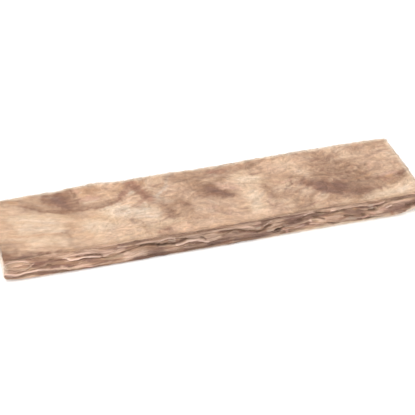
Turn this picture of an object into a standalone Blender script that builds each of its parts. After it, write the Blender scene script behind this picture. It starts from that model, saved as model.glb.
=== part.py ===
"""Fibreglass insulation pad: one slab of layered glass wool, lying flat on its broad face.

Metres, +Z up. The origin is the middle of the underside and +X runs along the pad.
"""

import math

import bmesh
import bpy

# The cut slab: a 24 x 96 inch pad, 5.5 inches thick at its fullest
LENGTH = 2.438
WIDTH = 0.610
THICKNESS = 0.140
PERIMETER = 2 * (LENGTH + WIDTH)

# Corners in plan, and the soft edges round the two broad faces
CORNER_RADIUS = 0.026
TOP_EDGE_RADIUS = 0.012
BOTTOM_EDGE_RADIUS = 0.007

# Seams between the layers of wool that show on the cut sides, as shares of the thickness
SEAM_LEVELS = (0.21, 0.49, 0.77)
SEAM_DEPTH = 0.008
SEAM_DEPTH_LENGTH = 0.53
SEAM_SWAY = 0.013
SEAM_SWAY_LENGTH = 0.80
SEAM_RIPPLE = 0.004
SEAM_RIPPLE_LENGTH = 0.29
CREST_SHARE = 0.27

# One layer stands in the plane of the cut, and the others have sprung back from it here and there
CUT_LAYER = 1
SPRING_BACK = 0.004
SPRING_BACK_LENGTH = 0.46

# Low swells of the top face: their whole depth, and the long, short and crosswise waves that share it
TOP_SWELL = 0.012
LONG_SWELL_LENGTH = 0.58
SHORT_SWELL_LENGTH = 0.27
CROSS_SWELL_LENGTH = 0.98
LONG_SWELL_SKEW = 0.35
SHORT_SWELL_SKEW = -0.60
SWELL_SHARES = (0.5, 0.3, 0.2)

# Where each wave starts, as an angle in radians. A seam or layer starts its number of steps further on
LONG_SWELL_START = 0.5
SHORT_SWELL_START = 2.2
CROSS_SWELL_START = 1.1
SEAM_SWAY_START = 0.8
SEAM_RIPPLE_STEP = 2.3
SEAM_DEPTH_STEP = 1.1
SPRING_BACK_STEP = 1.9

# Spacing of the surface points along and across the pad
STATION_SPACING = 0.045

WOOL_COLOUR = (0.62, 0.42, 0.29, 1.0)
WOOL_ROUGHNESS = 0.95


def clear_scene():
    for obj in list(bpy.data.objects):
        bpy.data.objects.remove(obj, do_unlink=True)


def glass_wool():
    material = bpy.data.materials.new("glass_wool")
    material.use_nodes = True
    shader = material.node_tree.nodes["Principled BSDF"]
    shader.inputs["Base Color"].default_value = WOOL_COLOUR
    shader.inputs["Roughness"].default_value = WOOL_ROUGHNESS
    shader.inputs["Metallic"].default_value = 0.0
    return material


def stations(side):
    """Places along one side of the slab: even steps, and two closer ones that shape each corner arc."""
    half = side / 2
    straight = side - 2 * CORNER_RADIUS
    steps = max(1, round(straight / STATION_SPACING))
    places = [-straight / 2 + straight * i / steps for i in range(steps + 1)]
    on_arc = half - CORNER_RADIUS * (1 - math.tan(math.pi / 8))
    return [-half, -on_arc, *places, on_arc, half]


def wave(distance, length, phase, closed_in=None):
    """A sine from -1 to 1. With closed_in, a whole number of waves fits that distance."""
    if closed_in:
        length = closed_in / max(1, round(closed_in / length))
    return math.sin(2 * math.pi * distance / length + phase)


def distance_round(x, y):
    """How far round the slab's rectangle a point of it lies, from the front left corner."""
    half_x = LENGTH / 2
    half_y = WIDTH / 2
    to_side = {
        "front": half_y + y,
        "right": half_x - x,
        "back": half_y - y,
        "left": half_x + x,
    }
    side = min(to_side, key=to_side.get)
    return {
        "front": half_x + x,
        "right": LENGTH + half_y + y,
        "back": LENGTH + WIDTH + half_x - x,
        "left": 2 * LENGTH + WIDTH + half_y - y,
    }[side]


def plan_point(x, y, inset):
    """A point of the full rectangle, carried to the rounded outline that lies inset in it."""
    half_x = LENGTH / 2 - inset
    half_y = WIDTH / 2 - inset
    radius = max(CORNER_RADIUS - inset, 0.0)
    x *= half_x / (LENGTH / 2)
    y *= half_y / (WIDTH / 2)
    past_x = abs(x) - (half_x - radius)
    past_y = abs(y) - (half_y - radius)
    if past_x > 0 and past_y > 0:
        pull = max(past_x, past_y) / math.hypot(past_x, past_y)
        x = math.copysign(half_x - radius + past_x * pull, x)
        y = math.copysign(half_y - radius + past_y * pull, y)
    return x, y


def top_height(x, y):
    """The top face: long low swells that run a little askew across the pad."""
    swells = (
        wave(x + LONG_SWELL_SKEW * y, LONG_SWELL_LENGTH, LONG_SWELL_START),
        wave(x + SHORT_SWELL_SKEW * y, SHORT_SWELL_LENGTH, SHORT_SWELL_START),
        wave(y, CROSS_SWELL_LENGTH, CROSS_SWELL_START),
    )
    rise = sum(share * swell for share, swell in zip(SWELL_SHARES, swells))
    return THICKNESS - TOP_SWELL * (1 - rise) / 2


def seam_height(number, around, top):
    """Height of a seam at one place round the sides. The first and last bounds are the soft edges."""
    if number == 0:
        return BOTTOM_EDGE_RADIUS
    if number > len(SEAM_LEVELS):
        return top - TOP_EDGE_RADIUS
    level = SEAM_LEVELS[number - 1]
    away_from_faces = math.sin(math.pi * level)
    sway = SEAM_SWAY * away_from_faces * wave(around, SEAM_SWAY_LENGTH, SEAM_SWAY_START, PERIMETER)
    ripple = SEAM_RIPPLE * wave(around, SEAM_RIPPLE_LENGTH, SEAM_RIPPLE_STEP * number, PERIMETER)
    return THICKNESS * level + sway + ripple


def seam_depth(number, around):
    """A seam deepens and fades to a third of its depth as it runs round the slab."""
    fade = (1 + wave(around, SEAM_DEPTH_LENGTH, SEAM_DEPTH_STEP * number, PERIMETER)) / 2
    return SEAM_DEPTH * (1 + 2 * fade) / 3


def spring_back(layer, around):
    """How far a layer's edge stands back from the plane of the cut."""
    if layer == CUT_LAYER:
        return 0.0
    come_and_go = (1 + wave(around, SPRING_BACK_LENGTH, SPRING_BACK_STEP * layer, PERIMETER)) / 2
    return SPRING_BACK * come_and_go


def side_profile(around, top):
    """The side's section at one place, as (inset, height) from the top edge down to the underside."""
    eased = 1 - math.sqrt(0.5)
    profile = [(TOP_EDGE_RADIUS * eased, top - TOP_EDGE_RADIUS * eased)]
    for layer in reversed(range(len(SEAM_LEVELS) + 1)):
        low = seam_height(layer, around, top)
        high = seam_height(layer + 1, around, top)
        back = spring_back(layer, around)
        high_share = 1 - CREST_SHARE if layer < len(SEAM_LEVELS) else 1
        low_share = CREST_SHARE if layer > 0 else 0
        profile.append((back, low + (high - low) * high_share))
        profile.append((back, low + (high - low) * low_share))
        if layer > 0:
            profile.append((seam_depth(layer, around), low))
    profile.append((BOTTOM_EDGE_RADIUS, 0.0))
    return profile


def flat_sheet(mesh, along, across):
    """A grid over the full rectangle, with its lines at the stations."""
    bmesh.ops.create_grid(mesh, x_segments=len(along) - 1, y_segments=len(across) - 1, size=0.5)
    for point in mesh.verts:
        column = round((point.co.x + 0.5) * (len(along) - 1))
        row = round((point.co.y + 0.5) * (len(across) - 1))
        point.co = (along[column], across[row], 0.0)


def rim(mesh):
    """The open edges of the mesh."""
    return [edge for edge in mesh.edges if edge.is_boundary]


def insulation_pad():
    """One closed body: a sheet for the top, its rim drawn down ring by ring, and the last ring closed."""
    mesh = bmesh.new()
    flat_sheet(mesh, stations(LENGTH), stations(WIDTH))
    top_points = [(point, point.co.x, point.co.y) for point in mesh.verts]

    rings = []
    for _ in side_profile(0.0, THICKNESS):
        bmesh.ops.extrude_edge_only(mesh, edges=rim(mesh))
        ring = {point for edge in rim(mesh) for point in edge.verts}
        rings.append([(point, point.co.x, point.co.y) for point in ring])
    bmesh.ops.edgeloop_fill(mesh, edges=rim(mesh))

    for point, x, y in top_points:
        point.co = (*plan_point(x, y, TOP_EDGE_RADIUS), top_height(x, y))
    for level, ring in enumerate(rings):
        for point, x, y in ring:
            inset, height = side_profile(distance_round(x, y), top_height(x, y))[level]
            point.co = (*plan_point(x, y, inset), height)
    bmesh.ops.recalc_face_normals(mesh, faces=mesh.faces)

    data = bpy.data.meshes.new("insulation_pad")
    mesh.to_mesh(data)
    mesh.free()
    data.shade_smooth()
    data.materials.append(glass_wool())
    return bpy.data.objects.new("insulation_pad", data)


def main():
    clear_scene()
    collection = bpy.data.collections.new("fibreglass_insulation_pad")
    bpy.context.scene.collection.children.link(collection)
    collection.objects.link(insulation_pad())


main()
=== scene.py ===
"""Looks of a fibreglass insulation pad: one slab of layered glass wool on a pale studio floor.

Metres, +Z up. +X runs along the pad, and its near long side faces -Y.
"""

import math

import bmesh
import bpy
import numpy as np
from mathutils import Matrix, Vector, noise
from mathutils.bvhtree import BVHTree


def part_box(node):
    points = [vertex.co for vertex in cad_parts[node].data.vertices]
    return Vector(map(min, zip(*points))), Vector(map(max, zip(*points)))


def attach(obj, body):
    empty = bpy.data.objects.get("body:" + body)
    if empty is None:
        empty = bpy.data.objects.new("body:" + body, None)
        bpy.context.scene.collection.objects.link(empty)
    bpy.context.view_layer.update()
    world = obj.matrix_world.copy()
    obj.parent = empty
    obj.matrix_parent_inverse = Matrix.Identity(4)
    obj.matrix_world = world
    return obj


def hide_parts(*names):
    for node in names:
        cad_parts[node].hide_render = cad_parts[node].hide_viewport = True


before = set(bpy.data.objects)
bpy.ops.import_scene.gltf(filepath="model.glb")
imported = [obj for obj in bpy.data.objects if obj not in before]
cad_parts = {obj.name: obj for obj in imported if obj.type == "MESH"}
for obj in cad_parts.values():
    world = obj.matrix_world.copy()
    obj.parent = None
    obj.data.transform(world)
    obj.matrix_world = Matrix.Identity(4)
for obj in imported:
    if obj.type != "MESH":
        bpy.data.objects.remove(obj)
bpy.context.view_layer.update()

# The slab as the frame has it
PAD_NODE = "insulation_pad"
PAD_LOW, PAD_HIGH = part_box(PAD_NODE)
LENGTH, WIDTH, THICKNESS = PAD_HIGH - PAD_LOW
PERIMETER = 2 * (LENGTH + WIDTH)
RING_RADIUS = PERIMETER / (2 * math.pi)
CLEAR_ABOVE = 0.1

# The photograph's camera: where it stands, how it is turned and its lens on a 36 mm sensor
CAMERA_PLACE = (-1.806, -6.052, 4.218)
CAMERA_YAW = math.radians(16.63)
CAMERA_DIP = math.radians(33.38)
CAMERA_LENS_MM = 113.3
SENSOR_MM = 36.0

# Soft edges of the cut wool, and its corners in plan
NEAR_LEFT_CORNER = 0.012
NEAR_RIGHT_CORNER = 0.026
FAR_CORNERS = 0.028
SHARPEST_CORNER = 0.002
TOP_EDGE_RADIUS = 0.009
BOTTOM_EDGE_RADIUS = 0.009

# Faces along and across the top, and rings of faces down the cut sides
FACES_ALONG = 380
FACES_ACROSS = 84
TOP_EDGE_RINGS = 6
SIDE_RINGS = 57
BOTTOM_EDGE_RINGS = 7
LAST_RING = TOP_EDGE_RINGS + SIDE_RINGS + BOTTOM_EDGE_RINGS

# Where the top's near and far edges lie, as (x along the pad, height), and how far in from them
# that tells
NEAR_EDGE_HEIGHTS = (
    (-1.22, 0.137), (-0.72, 0.137), (-0.37, 0.134), (-0.03, 0.131), (0.25, 0.136), (0.56, 0.142),
    (0.89, 0.133), (1.17, 0.134), (1.22, 0.134),
)
FAR_EDGE_HEIGHTS = (
    (-1.22, 0.131), (-1.12, 0.129), (-1.00, 0.136), (-0.87, 0.134), (-0.80, 0.133), (-0.76, 0.142),
    (-0.70, 0.143),
    (-0.60, 0.145), (-0.50, 0.136), (-0.43, 0.135), (-0.31, 0.139), (-0.12, 0.141), (0.06, 0.135),
    (0.25, 0.138), (0.36, 0.143), (0.43, 0.144), (0.62, 0.146),
    (0.80, 0.145), (0.95, 0.147), (1.22, 0.145),
)
EDGE_REACH = 0.09

# How far the wool swells out past the frame's outline: the far side along x, the two ends along
# y, and the lower half of the near side along x
FAR_SWELLS = (
    (-1.22, 0.000), (-0.80, 0.001), (-0.70, 0.004), (-0.60, 0.008), (-0.50, 0.003), (-0.20, 0.000),
    (0.10, 0.000),
    (0.34, 0.003), (0.50, 0.003), (0.60, 0.005), (0.80, 0.009), (0.95, 0.008), (1.22, 0.004),
)
RIGHT_SWELLS = ((-0.305, 0.000), (-0.20, 0.004), (-0.10, 0.010), (0.00, 0.016), (0.10, 0.021),
    (0.305, 0.018))
LEFT_SWELLS = ((-0.305, 0.013), (-0.20, 0.010), (0.00, 0.004), (0.305, 0.002))
NEAR_LOW_SWELLS = (
    (-1.22, 0.0075), (-1.18, 0.011), (-1.14, 0.017), (-0.90, 0.021), (-0.50, 0.022), (-0.30, 0.018),
    (0.20, 0.018), (0.45, 0.016),
    (0.85, 0.019), (1.05, 0.022), (1.12, 0.015), (1.22, 0.004),
)
SWELL_REACH = 0.14
LOW_SWELL_TOP = 0.085
LOW_SWELL_FULL = 0.035

# How far the bottom edge is worn away under the near side, as (x along the pad, radius of the
# edge)
NEAR_FOOT_RADII = (
    (-1.22, 0.030), (-1.18, 0.016), (-1.14, 0.009), (-0.50, 0.005), (0.30, 0.006), (0.40, 0.009),
    (0.60, 0.009),
    (1.00, 0.009), (1.08, 0.014), (1.14, 0.027), (1.18, 0.039), (1.22, 0.046),
)
FOOT_RADIUS_RANGE = (0.004, 0.050)

# The studio: an even sky, a broad light high over the pad, a small one low in front of it, and
# the floor
WHITE = (1.0, 1.0, 1.0, 1.0)
SKY_STRENGTH = 0.52
OVERHEAD_PLACE = (0.0, 2.0, 9.0)
OVERHEAD_AIM = (0.0, 2.0, 0.0)
OVERHEAD_SIZE = (26.0, 26.0)
OVERHEAD_POWER = 2910.0
FRONT_PLACE = (-2.4, -7.0, 1.6)
FRONT_AIM = (0.0, 0.0, 0.07)
FRONT_SIZE = (6.0, 2.0)
FRONT_POWER = 220.0
FLOOR_SIZE = 60.0
FLOOR_COLOUR = (0.90, 0.90, 0.90, 1.0)
FLOOR_ROUGHNESS = 0.9
FLOOR_SHINE = 0.1
FLOOR_GLOW = 0.13

# How light the wool is for the light of this studio: a palette colour times this is what it
# reflects
WOOL_REFLECTS = np.array((0.665, 0.637, 0.627))

# Wool colours, in 8-bit sRGB as the eye sees them in daylight
NEAR_WHITE = (255, 247, 236)
PALE = (244, 225, 201)
# The next colour is the painted highlight on the lips of the cut sides
SHELL_HIGHLIGHT = (244, 215, 197)
FAWN = (227, 197, 175)
CREAM = (235, 207, 177)
PEACH = (226, 191, 162)
TAN = (211, 177, 150)
GREY_CREAM = (218, 200, 181)
PINK = (219, 178, 160)
ORANGE = (221, 176, 136)
RUST = (175, 131, 109)
REDDISH = (148, 109, 89)
BROWN = (176, 141, 115)
GREY_BROWN = (160, 134, 120)
OLIVE_GREY = (170, 150, 126)
MAUVE = (141, 109, 97)
# The next colour is used on the top too, and on the cut sides it is painted shade in the hollows and under
# the lips
UMBER = (122, 95, 77)
# The next colour is painted shade at the bottom of the deepest hollows
PIT_SHADE = (84, 64, 50)


# Daubs of colour on the top, back to front: colour, points along the middle of the daub, half
# width, strength
TOP_DAUBS = (
    (CREAM, ((-1.20, 0.03), (-0.96, -0.02), (-0.70, -0.12)), 0.17, 0.62),
    (CREAM, ((-0.68, -0.15), (-0.45, -0.21)), 0.12, 0.60),
    (CREAM, ((-1.15, -0.16), (-0.92, -0.20)), 0.10, 0.45),
    (PALE, ((-1.02, 0.00), (-0.92, -0.04)), 0.06, 0.35),
    (PALE, ((-0.70, -0.10), (-0.62, -0.16)), 0.055, 0.55),
    (PEACH, ((-1.19, 0.06), (-1.175, -0.04)), 0.045, 0.70),
    (PALE, ((-1.115, 0.078), (-1.015, 0.069), (-0.913, 0.008)), 0.032, 0.45),
    (PALE, ((-1.080, -0.046), (-0.956, -0.073), (-0.847, -0.116)), 0.024, 0.50),
    (PALE, ((-1.046, -0.167), (-0.926, -0.203), (-0.856, -0.214)), 0.026, 0.45),
    (TAN, ((-1.153, -0.085), (-1.074, -0.109), (-1.00, -0.112), (-0.874, -0.138)), 0.010, 0.85),
    (TAN, ((-1.154, -0.155), (-1.096, -0.202)), 0.034, 0.70),
    (TAN, ((-1.006, -0.248), (-0.897, -0.290)), 0.030, 0.80),
    (PEACH, ((-0.795, -0.111), (-0.747, -0.226)), 0.045, 0.75),
    (TAN, ((-0.754, 0.002), (-0.685, 0.003)), 0.030, 0.75),
    (PEACH, ((-0.629, -0.201), (-0.530, -0.190)), 0.045, 0.65),
    (ORANGE, ((-1.15, -0.02), (-0.75, -0.12)), 0.20, 0.13),
    (PALE, ((-0.56, 0.01), (-0.47, -0.02), (-0.34, -0.08)), 0.060, 0.68),
    (CREAM, ((0.22, 0.135), (0.28, 0.11), (0.34, 0.085)), 0.045, 0.95),
    (PALE, ((0.25, 0.120), (0.33, 0.090)), 0.024, 0.70),
    (CREAM, ((0.27, 0.08), (0.268, -0.02), (0.256, -0.13), (0.22, -0.28)), 0.055, 0.85),
    (PALE, ((0.270, -0.03), (0.255, -0.13), (0.235, -0.24)), 0.026, 0.45),
    (CREAM, ((0.90, -0.265), (1.02, -0.265), (1.19, -0.23)), 0.052, 0.95),
    (PALE, ((1.00, -0.255), (1.10, -0.245), (1.19, -0.215)), 0.022, 0.60),
    (CREAM, ((1.21, -0.14), (1.20, -0.27)), 0.045, 0.90),
    (PEACH, ((-0.24, -0.27), (0.00, -0.28), (0.30, -0.28)), 0.050, 0.70),
    (PEACH, ((0.45, 0.20), (0.58, 0.19), (0.70, 0.15)), 0.090, 0.75),
    (CREAM, ((0.52, 0.22), (0.56, 0.17)), 0.045, 0.50),
    (CREAM, ((0.63, 0.08), (0.66, 0.10)), 0.035, 0.60),
    (PEACH, ((0.17, 0.10), (0.18, 0.02)), 0.040, 0.60),
    (TAN, ((-0.10, 0.20), (-0.10, -0.15)), 0.090, 0.50),
    (TAN, ((0.10, -0.10), (0.10, -0.22)), 0.080, 0.50),
    (BROWN, ((-1.02, 0.25), (-0.94, 0.19), (-0.90, 0.15)), 0.060, 0.50),
    (BROWN, ((-1.12, 0.27), (-1.03, 0.205), (-0.925, 0.122), (-0.82, 0.085),
             (-0.72, 0.085)), 0.026, 0.75),
    (REDDISH, ((-1.04, 0.195), (-0.925, 0.105), (-0.80, 0.068), (-0.70, 0.070)), 0.010, 0.70),
    (BROWN, ((-0.82, 0.28), (-0.81, 0.17), (-0.77, 0.11)), 0.085, 0.75),
    (REDDISH, ((-0.872, 0.245), (-0.842, 0.200), (-0.803, 0.125)), 0.054, 0.90),
    (REDDISH, ((-0.805, 0.255), (-0.785, 0.180), (-0.760, 0.100)), 0.036, 0.65),
    (REDDISH, ((-0.905, 0.245), (-0.880, 0.195)), 0.024, 0.50),
    (MAUVE, ((-0.850, 0.225), (-0.825, 0.180)), 0.026, 0.65),
    (MAUVE, ((-0.815, 0.150), (-0.790, 0.115)), 0.020, 0.60),
    (RUST, ((-0.775, 0.165), (-0.750, 0.130)), 0.018, 0.55),
    (PEACH, ((-0.862, 0.140), (-0.835, 0.118)), 0.010, 0.45),
    (REDDISH, ((-0.77, 0.28), (-0.765, 0.20), (-0.745, 0.12)), 0.014, 0.45),
    (PINK, ((-0.752, 0.28), (-0.748, 0.20)), 0.007, 0.45),
    (BROWN, ((-0.74, 0.28), (-0.74, 0.12)), 0.030, 0.60),
    (REDDISH, ((-0.737, 0.29), (-0.730, 0.21), (-0.722, 0.13)), 0.010, 0.60),
    (PINK, ((-0.712, 0.28), (-0.705, 0.17)), 0.009, 0.50),
    (ORANGE, ((-0.65, 0.22), (-0.56, 0.20), (-0.48, 0.23)), 0.060, 0.55),
    (PEACH, ((-0.60, 0.20), (-0.55, 0.16)), 0.016, 0.60),
    (BROWN, ((-0.66, 0.25), (-0.62, 0.21), (-0.64, 0.17)), 0.010, 0.60),
    (BROWN, ((-0.56, 0.26), (-0.53, 0.22), (-0.48, 0.20)), 0.009, 0.60),
    (PINK, ((-0.66, 0.17), (-0.63, 0.16)), 0.030, 0.60),
    (BROWN, ((-0.74, 0.085), (-0.641, 0.080), (-0.560, 0.078), (-0.500, 0.110)), 0.026, 0.65),
    (REDDISH, ((-0.73, 0.072), (-0.643, 0.066), (-0.56, 0.062), (-0.49, 0.100)), 0.010, 0.60),
    (RUST, ((-0.500, 0.100), (-0.460, 0.140), (-0.425, 0.200), (-0.405, 0.29)), 0.018, 0.80),
    (REDDISH, ((-0.49, 0.105), (-0.45, 0.155)), 0.009, 0.60),
    (PEACH, ((-0.50, 0.24), (-0.53, 0.17)), 0.040, 0.55),
    (PEACH, ((-0.45, 0.07), (-0.42, 0.10)), 0.030, 0.60),
    (RUST, ((-0.323, 0.078), (-0.356, 0.066), (-0.388, 0.054)), 0.014, 0.75),
    (UMBER, ((-0.395, 0.25), (-0.385, 0.21)), 0.012, 0.50),
    (ORANGE, ((-0.37, 0.26), (-0.33, 0.24)), 0.022, 0.60),
    (GREY_CREAM, ((-0.31, 0.07), (-0.26, 0.02)), 0.040, 0.80),
    (GREY_CREAM, ((-0.28, 0.08), (-0.22, 0.15), (-0.18, 0.22), (-0.16, 0.29)), 0.012, 0.60),
    (BROWN, ((-0.395, 0.29), (-0.365, 0.207), (-0.338, 0.135), (-0.320, 0.060)), 0.034, 0.70),
    (RUST, ((-0.400, 0.27), (-0.365, 0.200), (-0.338, 0.130), (-0.318, 0.060)), 0.026, 0.88),
    (REDDISH, ((-0.385, 0.24), (-0.360, 0.175), (-0.330, 0.090)), 0.014, 0.60),
    (BROWN, ((-0.27, -0.02), (-0.16, -0.09)), 0.080, 0.40),
    (MAUVE, ((-0.268, 0.005), (-0.256, -0.05), (-0.265, -0.10)), 0.010, 0.40),
    (BROWN, ((-0.265, 0.00), (-0.240, -0.14)), 0.036, 0.50),
    (REDDISH, ((-0.243, -0.03), (-0.228, -0.085), (-0.250, -0.15)), 0.013, 0.60),
    (MAUVE, ((-0.240, -0.10), (-0.246, -0.13)), 0.012, 0.50),
    (BROWN, ((-0.165, 0.010), (-0.140, -0.030), (-0.135, -0.080)), 0.026, 0.75),
    (REDDISH, ((-0.152, -0.010), (-0.134, -0.045)), 0.012, 0.70),
    (REDDISH, ((-0.185, -0.100), (-0.205, -0.125)), 0.010, 0.55),
    (BROWN, ((-0.190, 0.005), (-0.197, -0.045)), 0.009, 0.60),
    (BROWN, ((-0.120, -0.100), (-0.125, -0.135)), 0.009, 0.60),
    (BROWN, ((-0.16, 0.25), (-0.10, 0.22)), 0.040, 0.50),
    (RUST, ((-0.35, -0.275), (-0.30, -0.265)), 0.022, 0.80),
    (BROWN, ((-0.82, -0.08), (-0.850, -0.16), (-0.845, -0.23), (-0.82, -0.29)), 0.028, 0.45),
    (REDDISH, ((-0.840, -0.13), (-0.845, -0.17)), 0.009, 0.30),
    (BROWN, ((-1.21, -0.20), (-1.17, -0.28)), 0.080, 0.70),
    (REDDISH, ((-1.215, -0.24), (-1.18, -0.295)), 0.034, 0.85),
    (REDDISH, ((-1.15, -0.298), (-1.05, -0.300), (-0.92, -0.300)), 0.012, 0.75),
    (PEACH, ((-1.13, -0.255), (-1.09, -0.270)), 0.012, 0.70),
    (MAUVE, ((-1.11, -0.30), (-1.08, -0.30)), 0.035, 0.75),
    (GREY_BROWN, ((-0.48, -0.11), (-0.47, -0.14)), 0.014, 0.65),
    (BROWN, ((-0.42, -0.17), (-0.41, -0.28)), 0.012, 0.70),
    (BROWN, ((-0.43, 0.02), (-0.40, -0.01)), 0.014, 0.50),
    (BROWN, ((-0.01, 0.28), (0.02, 0.18), (-0.01, 0.10), (0.00, 0.05)), 0.085, 0.65),
    (BROWN, ((0.17, 0.27), (0.12, 0.18)), 0.050, 0.55),
    (BROWN, ((-0.05, 0.20), (-0.01, 0.13), (0.04, 0.06), (0.09, 0.01), (0.14, -0.03)), 0.046, 0.65),
    (REDDISH, ((0.020, 0.076), (0.058, 0.056), (0.088, 0.012)), 0.038, 0.95),
    (REDDISH, ((0.082, 0.010), (0.110, -0.012), (0.136, -0.030)), 0.024, 0.75),
    (REDDISH, ((-0.027, 0.045), (0.000, 0.018), (0.050, -0.005), (0.092, -0.018)), 0.028, 0.80),
    (MAUVE, ((0.028, 0.072), (0.060, 0.050), (0.092, 0.010), (0.120, -0.020)), 0.018, 0.70),
    (PINK, ((0.110, 0.090), (0.165, 0.040)), 0.022, 0.60),
    (BROWN, ((-0.02, 0.09), (-0.02, 0.02)), 0.030, 0.75),
    (RUST, ((0.080, 0.245), (0.129, 0.240), (0.180, 0.236)), 0.020, 0.80),
    (BROWN, ((0.24, 0.258), (0.30, 0.255), (0.36, 0.248)), 0.034, 0.85),
    (REDDISH, ((0.27, 0.262), (0.33, 0.258)), 0.014, 0.50),
    (BROWN, ((0.36, 0.01), (0.36, -0.07)), 0.030, 0.70),
    (BROWN, ((0.38, 0.06), (0.46, 0.08)), 0.050, 0.45),
    (BROWN, ((0.50, -0.20), (0.49, -0.26)), 0.048, 0.60),
    (BROWN, ((0.57, -0.16), (0.56, -0.19)), 0.030, 0.60),
    (BROWN, ((0.40, -0.12), (0.50, -0.13)), 0.040, 0.45),
    (BROWN, ((0.42, 0.27), (0.60, 0.29)), 0.018, 0.45),
    (UMBER, ((0.584, 0.288), (0.655, 0.291)), 0.007, 0.85),
    (BROWN, ((0.52, 0.06), (0.62, 0.035), (0.70, 0.03)), 0.022, 0.65),
    (BROWN, ((0.73, 0.09), (0.84, 0.09), (0.94, 0.04), (0.92, -0.04)), 0.085, 0.85),
    (BROWN, ((0.70, 0.00), (0.80, -0.02), (0.90, -0.05)), 0.055, 0.65),
    (REDDISH, ((0.600, -0.022), (0.650, -0.062), (0.690, -0.105)), 0.040, 0.85),
    (REDDISH, ((0.680, -0.095), (0.745, -0.140), (0.825, -0.168), (0.868, -0.185)), 0.072, 0.92),
    (MAUVE, ((0.660, -0.080), (0.71, -0.125), (0.77, -0.155), (0.84, -0.185)), 0.034, 0.62),
    (MAUVE, ((0.632, -0.010), (0.689, -0.055), (0.744, -0.090), (0.818, -0.120),
             (0.872, -0.158)), 0.010, 0.60),
    (MAUVE, ((0.66, -0.140), (0.70, -0.165), (0.75, -0.195)), 0.016, 0.50),
    (REDDISH, ((0.760, -0.105), (0.830, -0.130), (0.872, -0.165)), 0.046, 0.90),
    (REDDISH, ((0.760, -0.110), (0.800, -0.145), (0.848, -0.178)), 0.040, 0.60),
    (MAUVE, ((0.752, -0.095), (0.789, -0.131), (0.824, -0.153), (0.850, -0.178)), 0.030, 0.60),
    (BROWN, ((0.80, -0.22), (0.84, -0.25)), 0.028, 0.55),
    (BROWN, ((0.86, -0.14), (0.95, -0.15), (1.06, -0.12), (1.14, -0.10)), 0.050, 0.75),
    (REDDISH, ((0.86, -0.182), (0.93, -0.190), (0.99, -0.192)), 0.018, 0.65),
    (REDDISH, ((0.96, -0.075), (1.02, -0.085), (1.055, -0.10)), 0.014, 0.75),
    (BROWN, ((1.053, -0.170), (1.105, -0.150), (1.150, -0.115)), 0.020, 0.70),
    (PINK, ((1.060, -0.075), (1.100, -0.066), (1.140, -0.066)), 0.017, 0.75),
    (ORANGE, ((1.075, -0.090), (1.110, -0.085)), 0.012, 0.55),
    (RUST, ((1.045, -0.128), (1.075, -0.118), (1.12, -0.122)), 0.009, 0.75),
    (REDDISH, ((1.160, -0.095), (1.192, -0.070), (1.222, -0.045)), 0.019, 0.95),
    (BROWN, ((0.78, 0.205), (0.86, 0.215)), 0.032, 0.60),
    (REDDISH, ((0.80, 0.210), (0.84, 0.212)), 0.018, 0.50),
    (BROWN, ((0.70, 0.26), (0.76, 0.22)), 0.040, 0.50),
    (TAN, ((1.02, 0.20), (1.10, 0.05)), 0.090, 0.55),
    (BROWN, ((1.02, 0.26), (1.14, 0.27)), 0.030, 0.35),
    (ORANGE, ((-1.11, 0.26), (-1.07, 0.24)), 0.014, 0.70),
)

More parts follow.
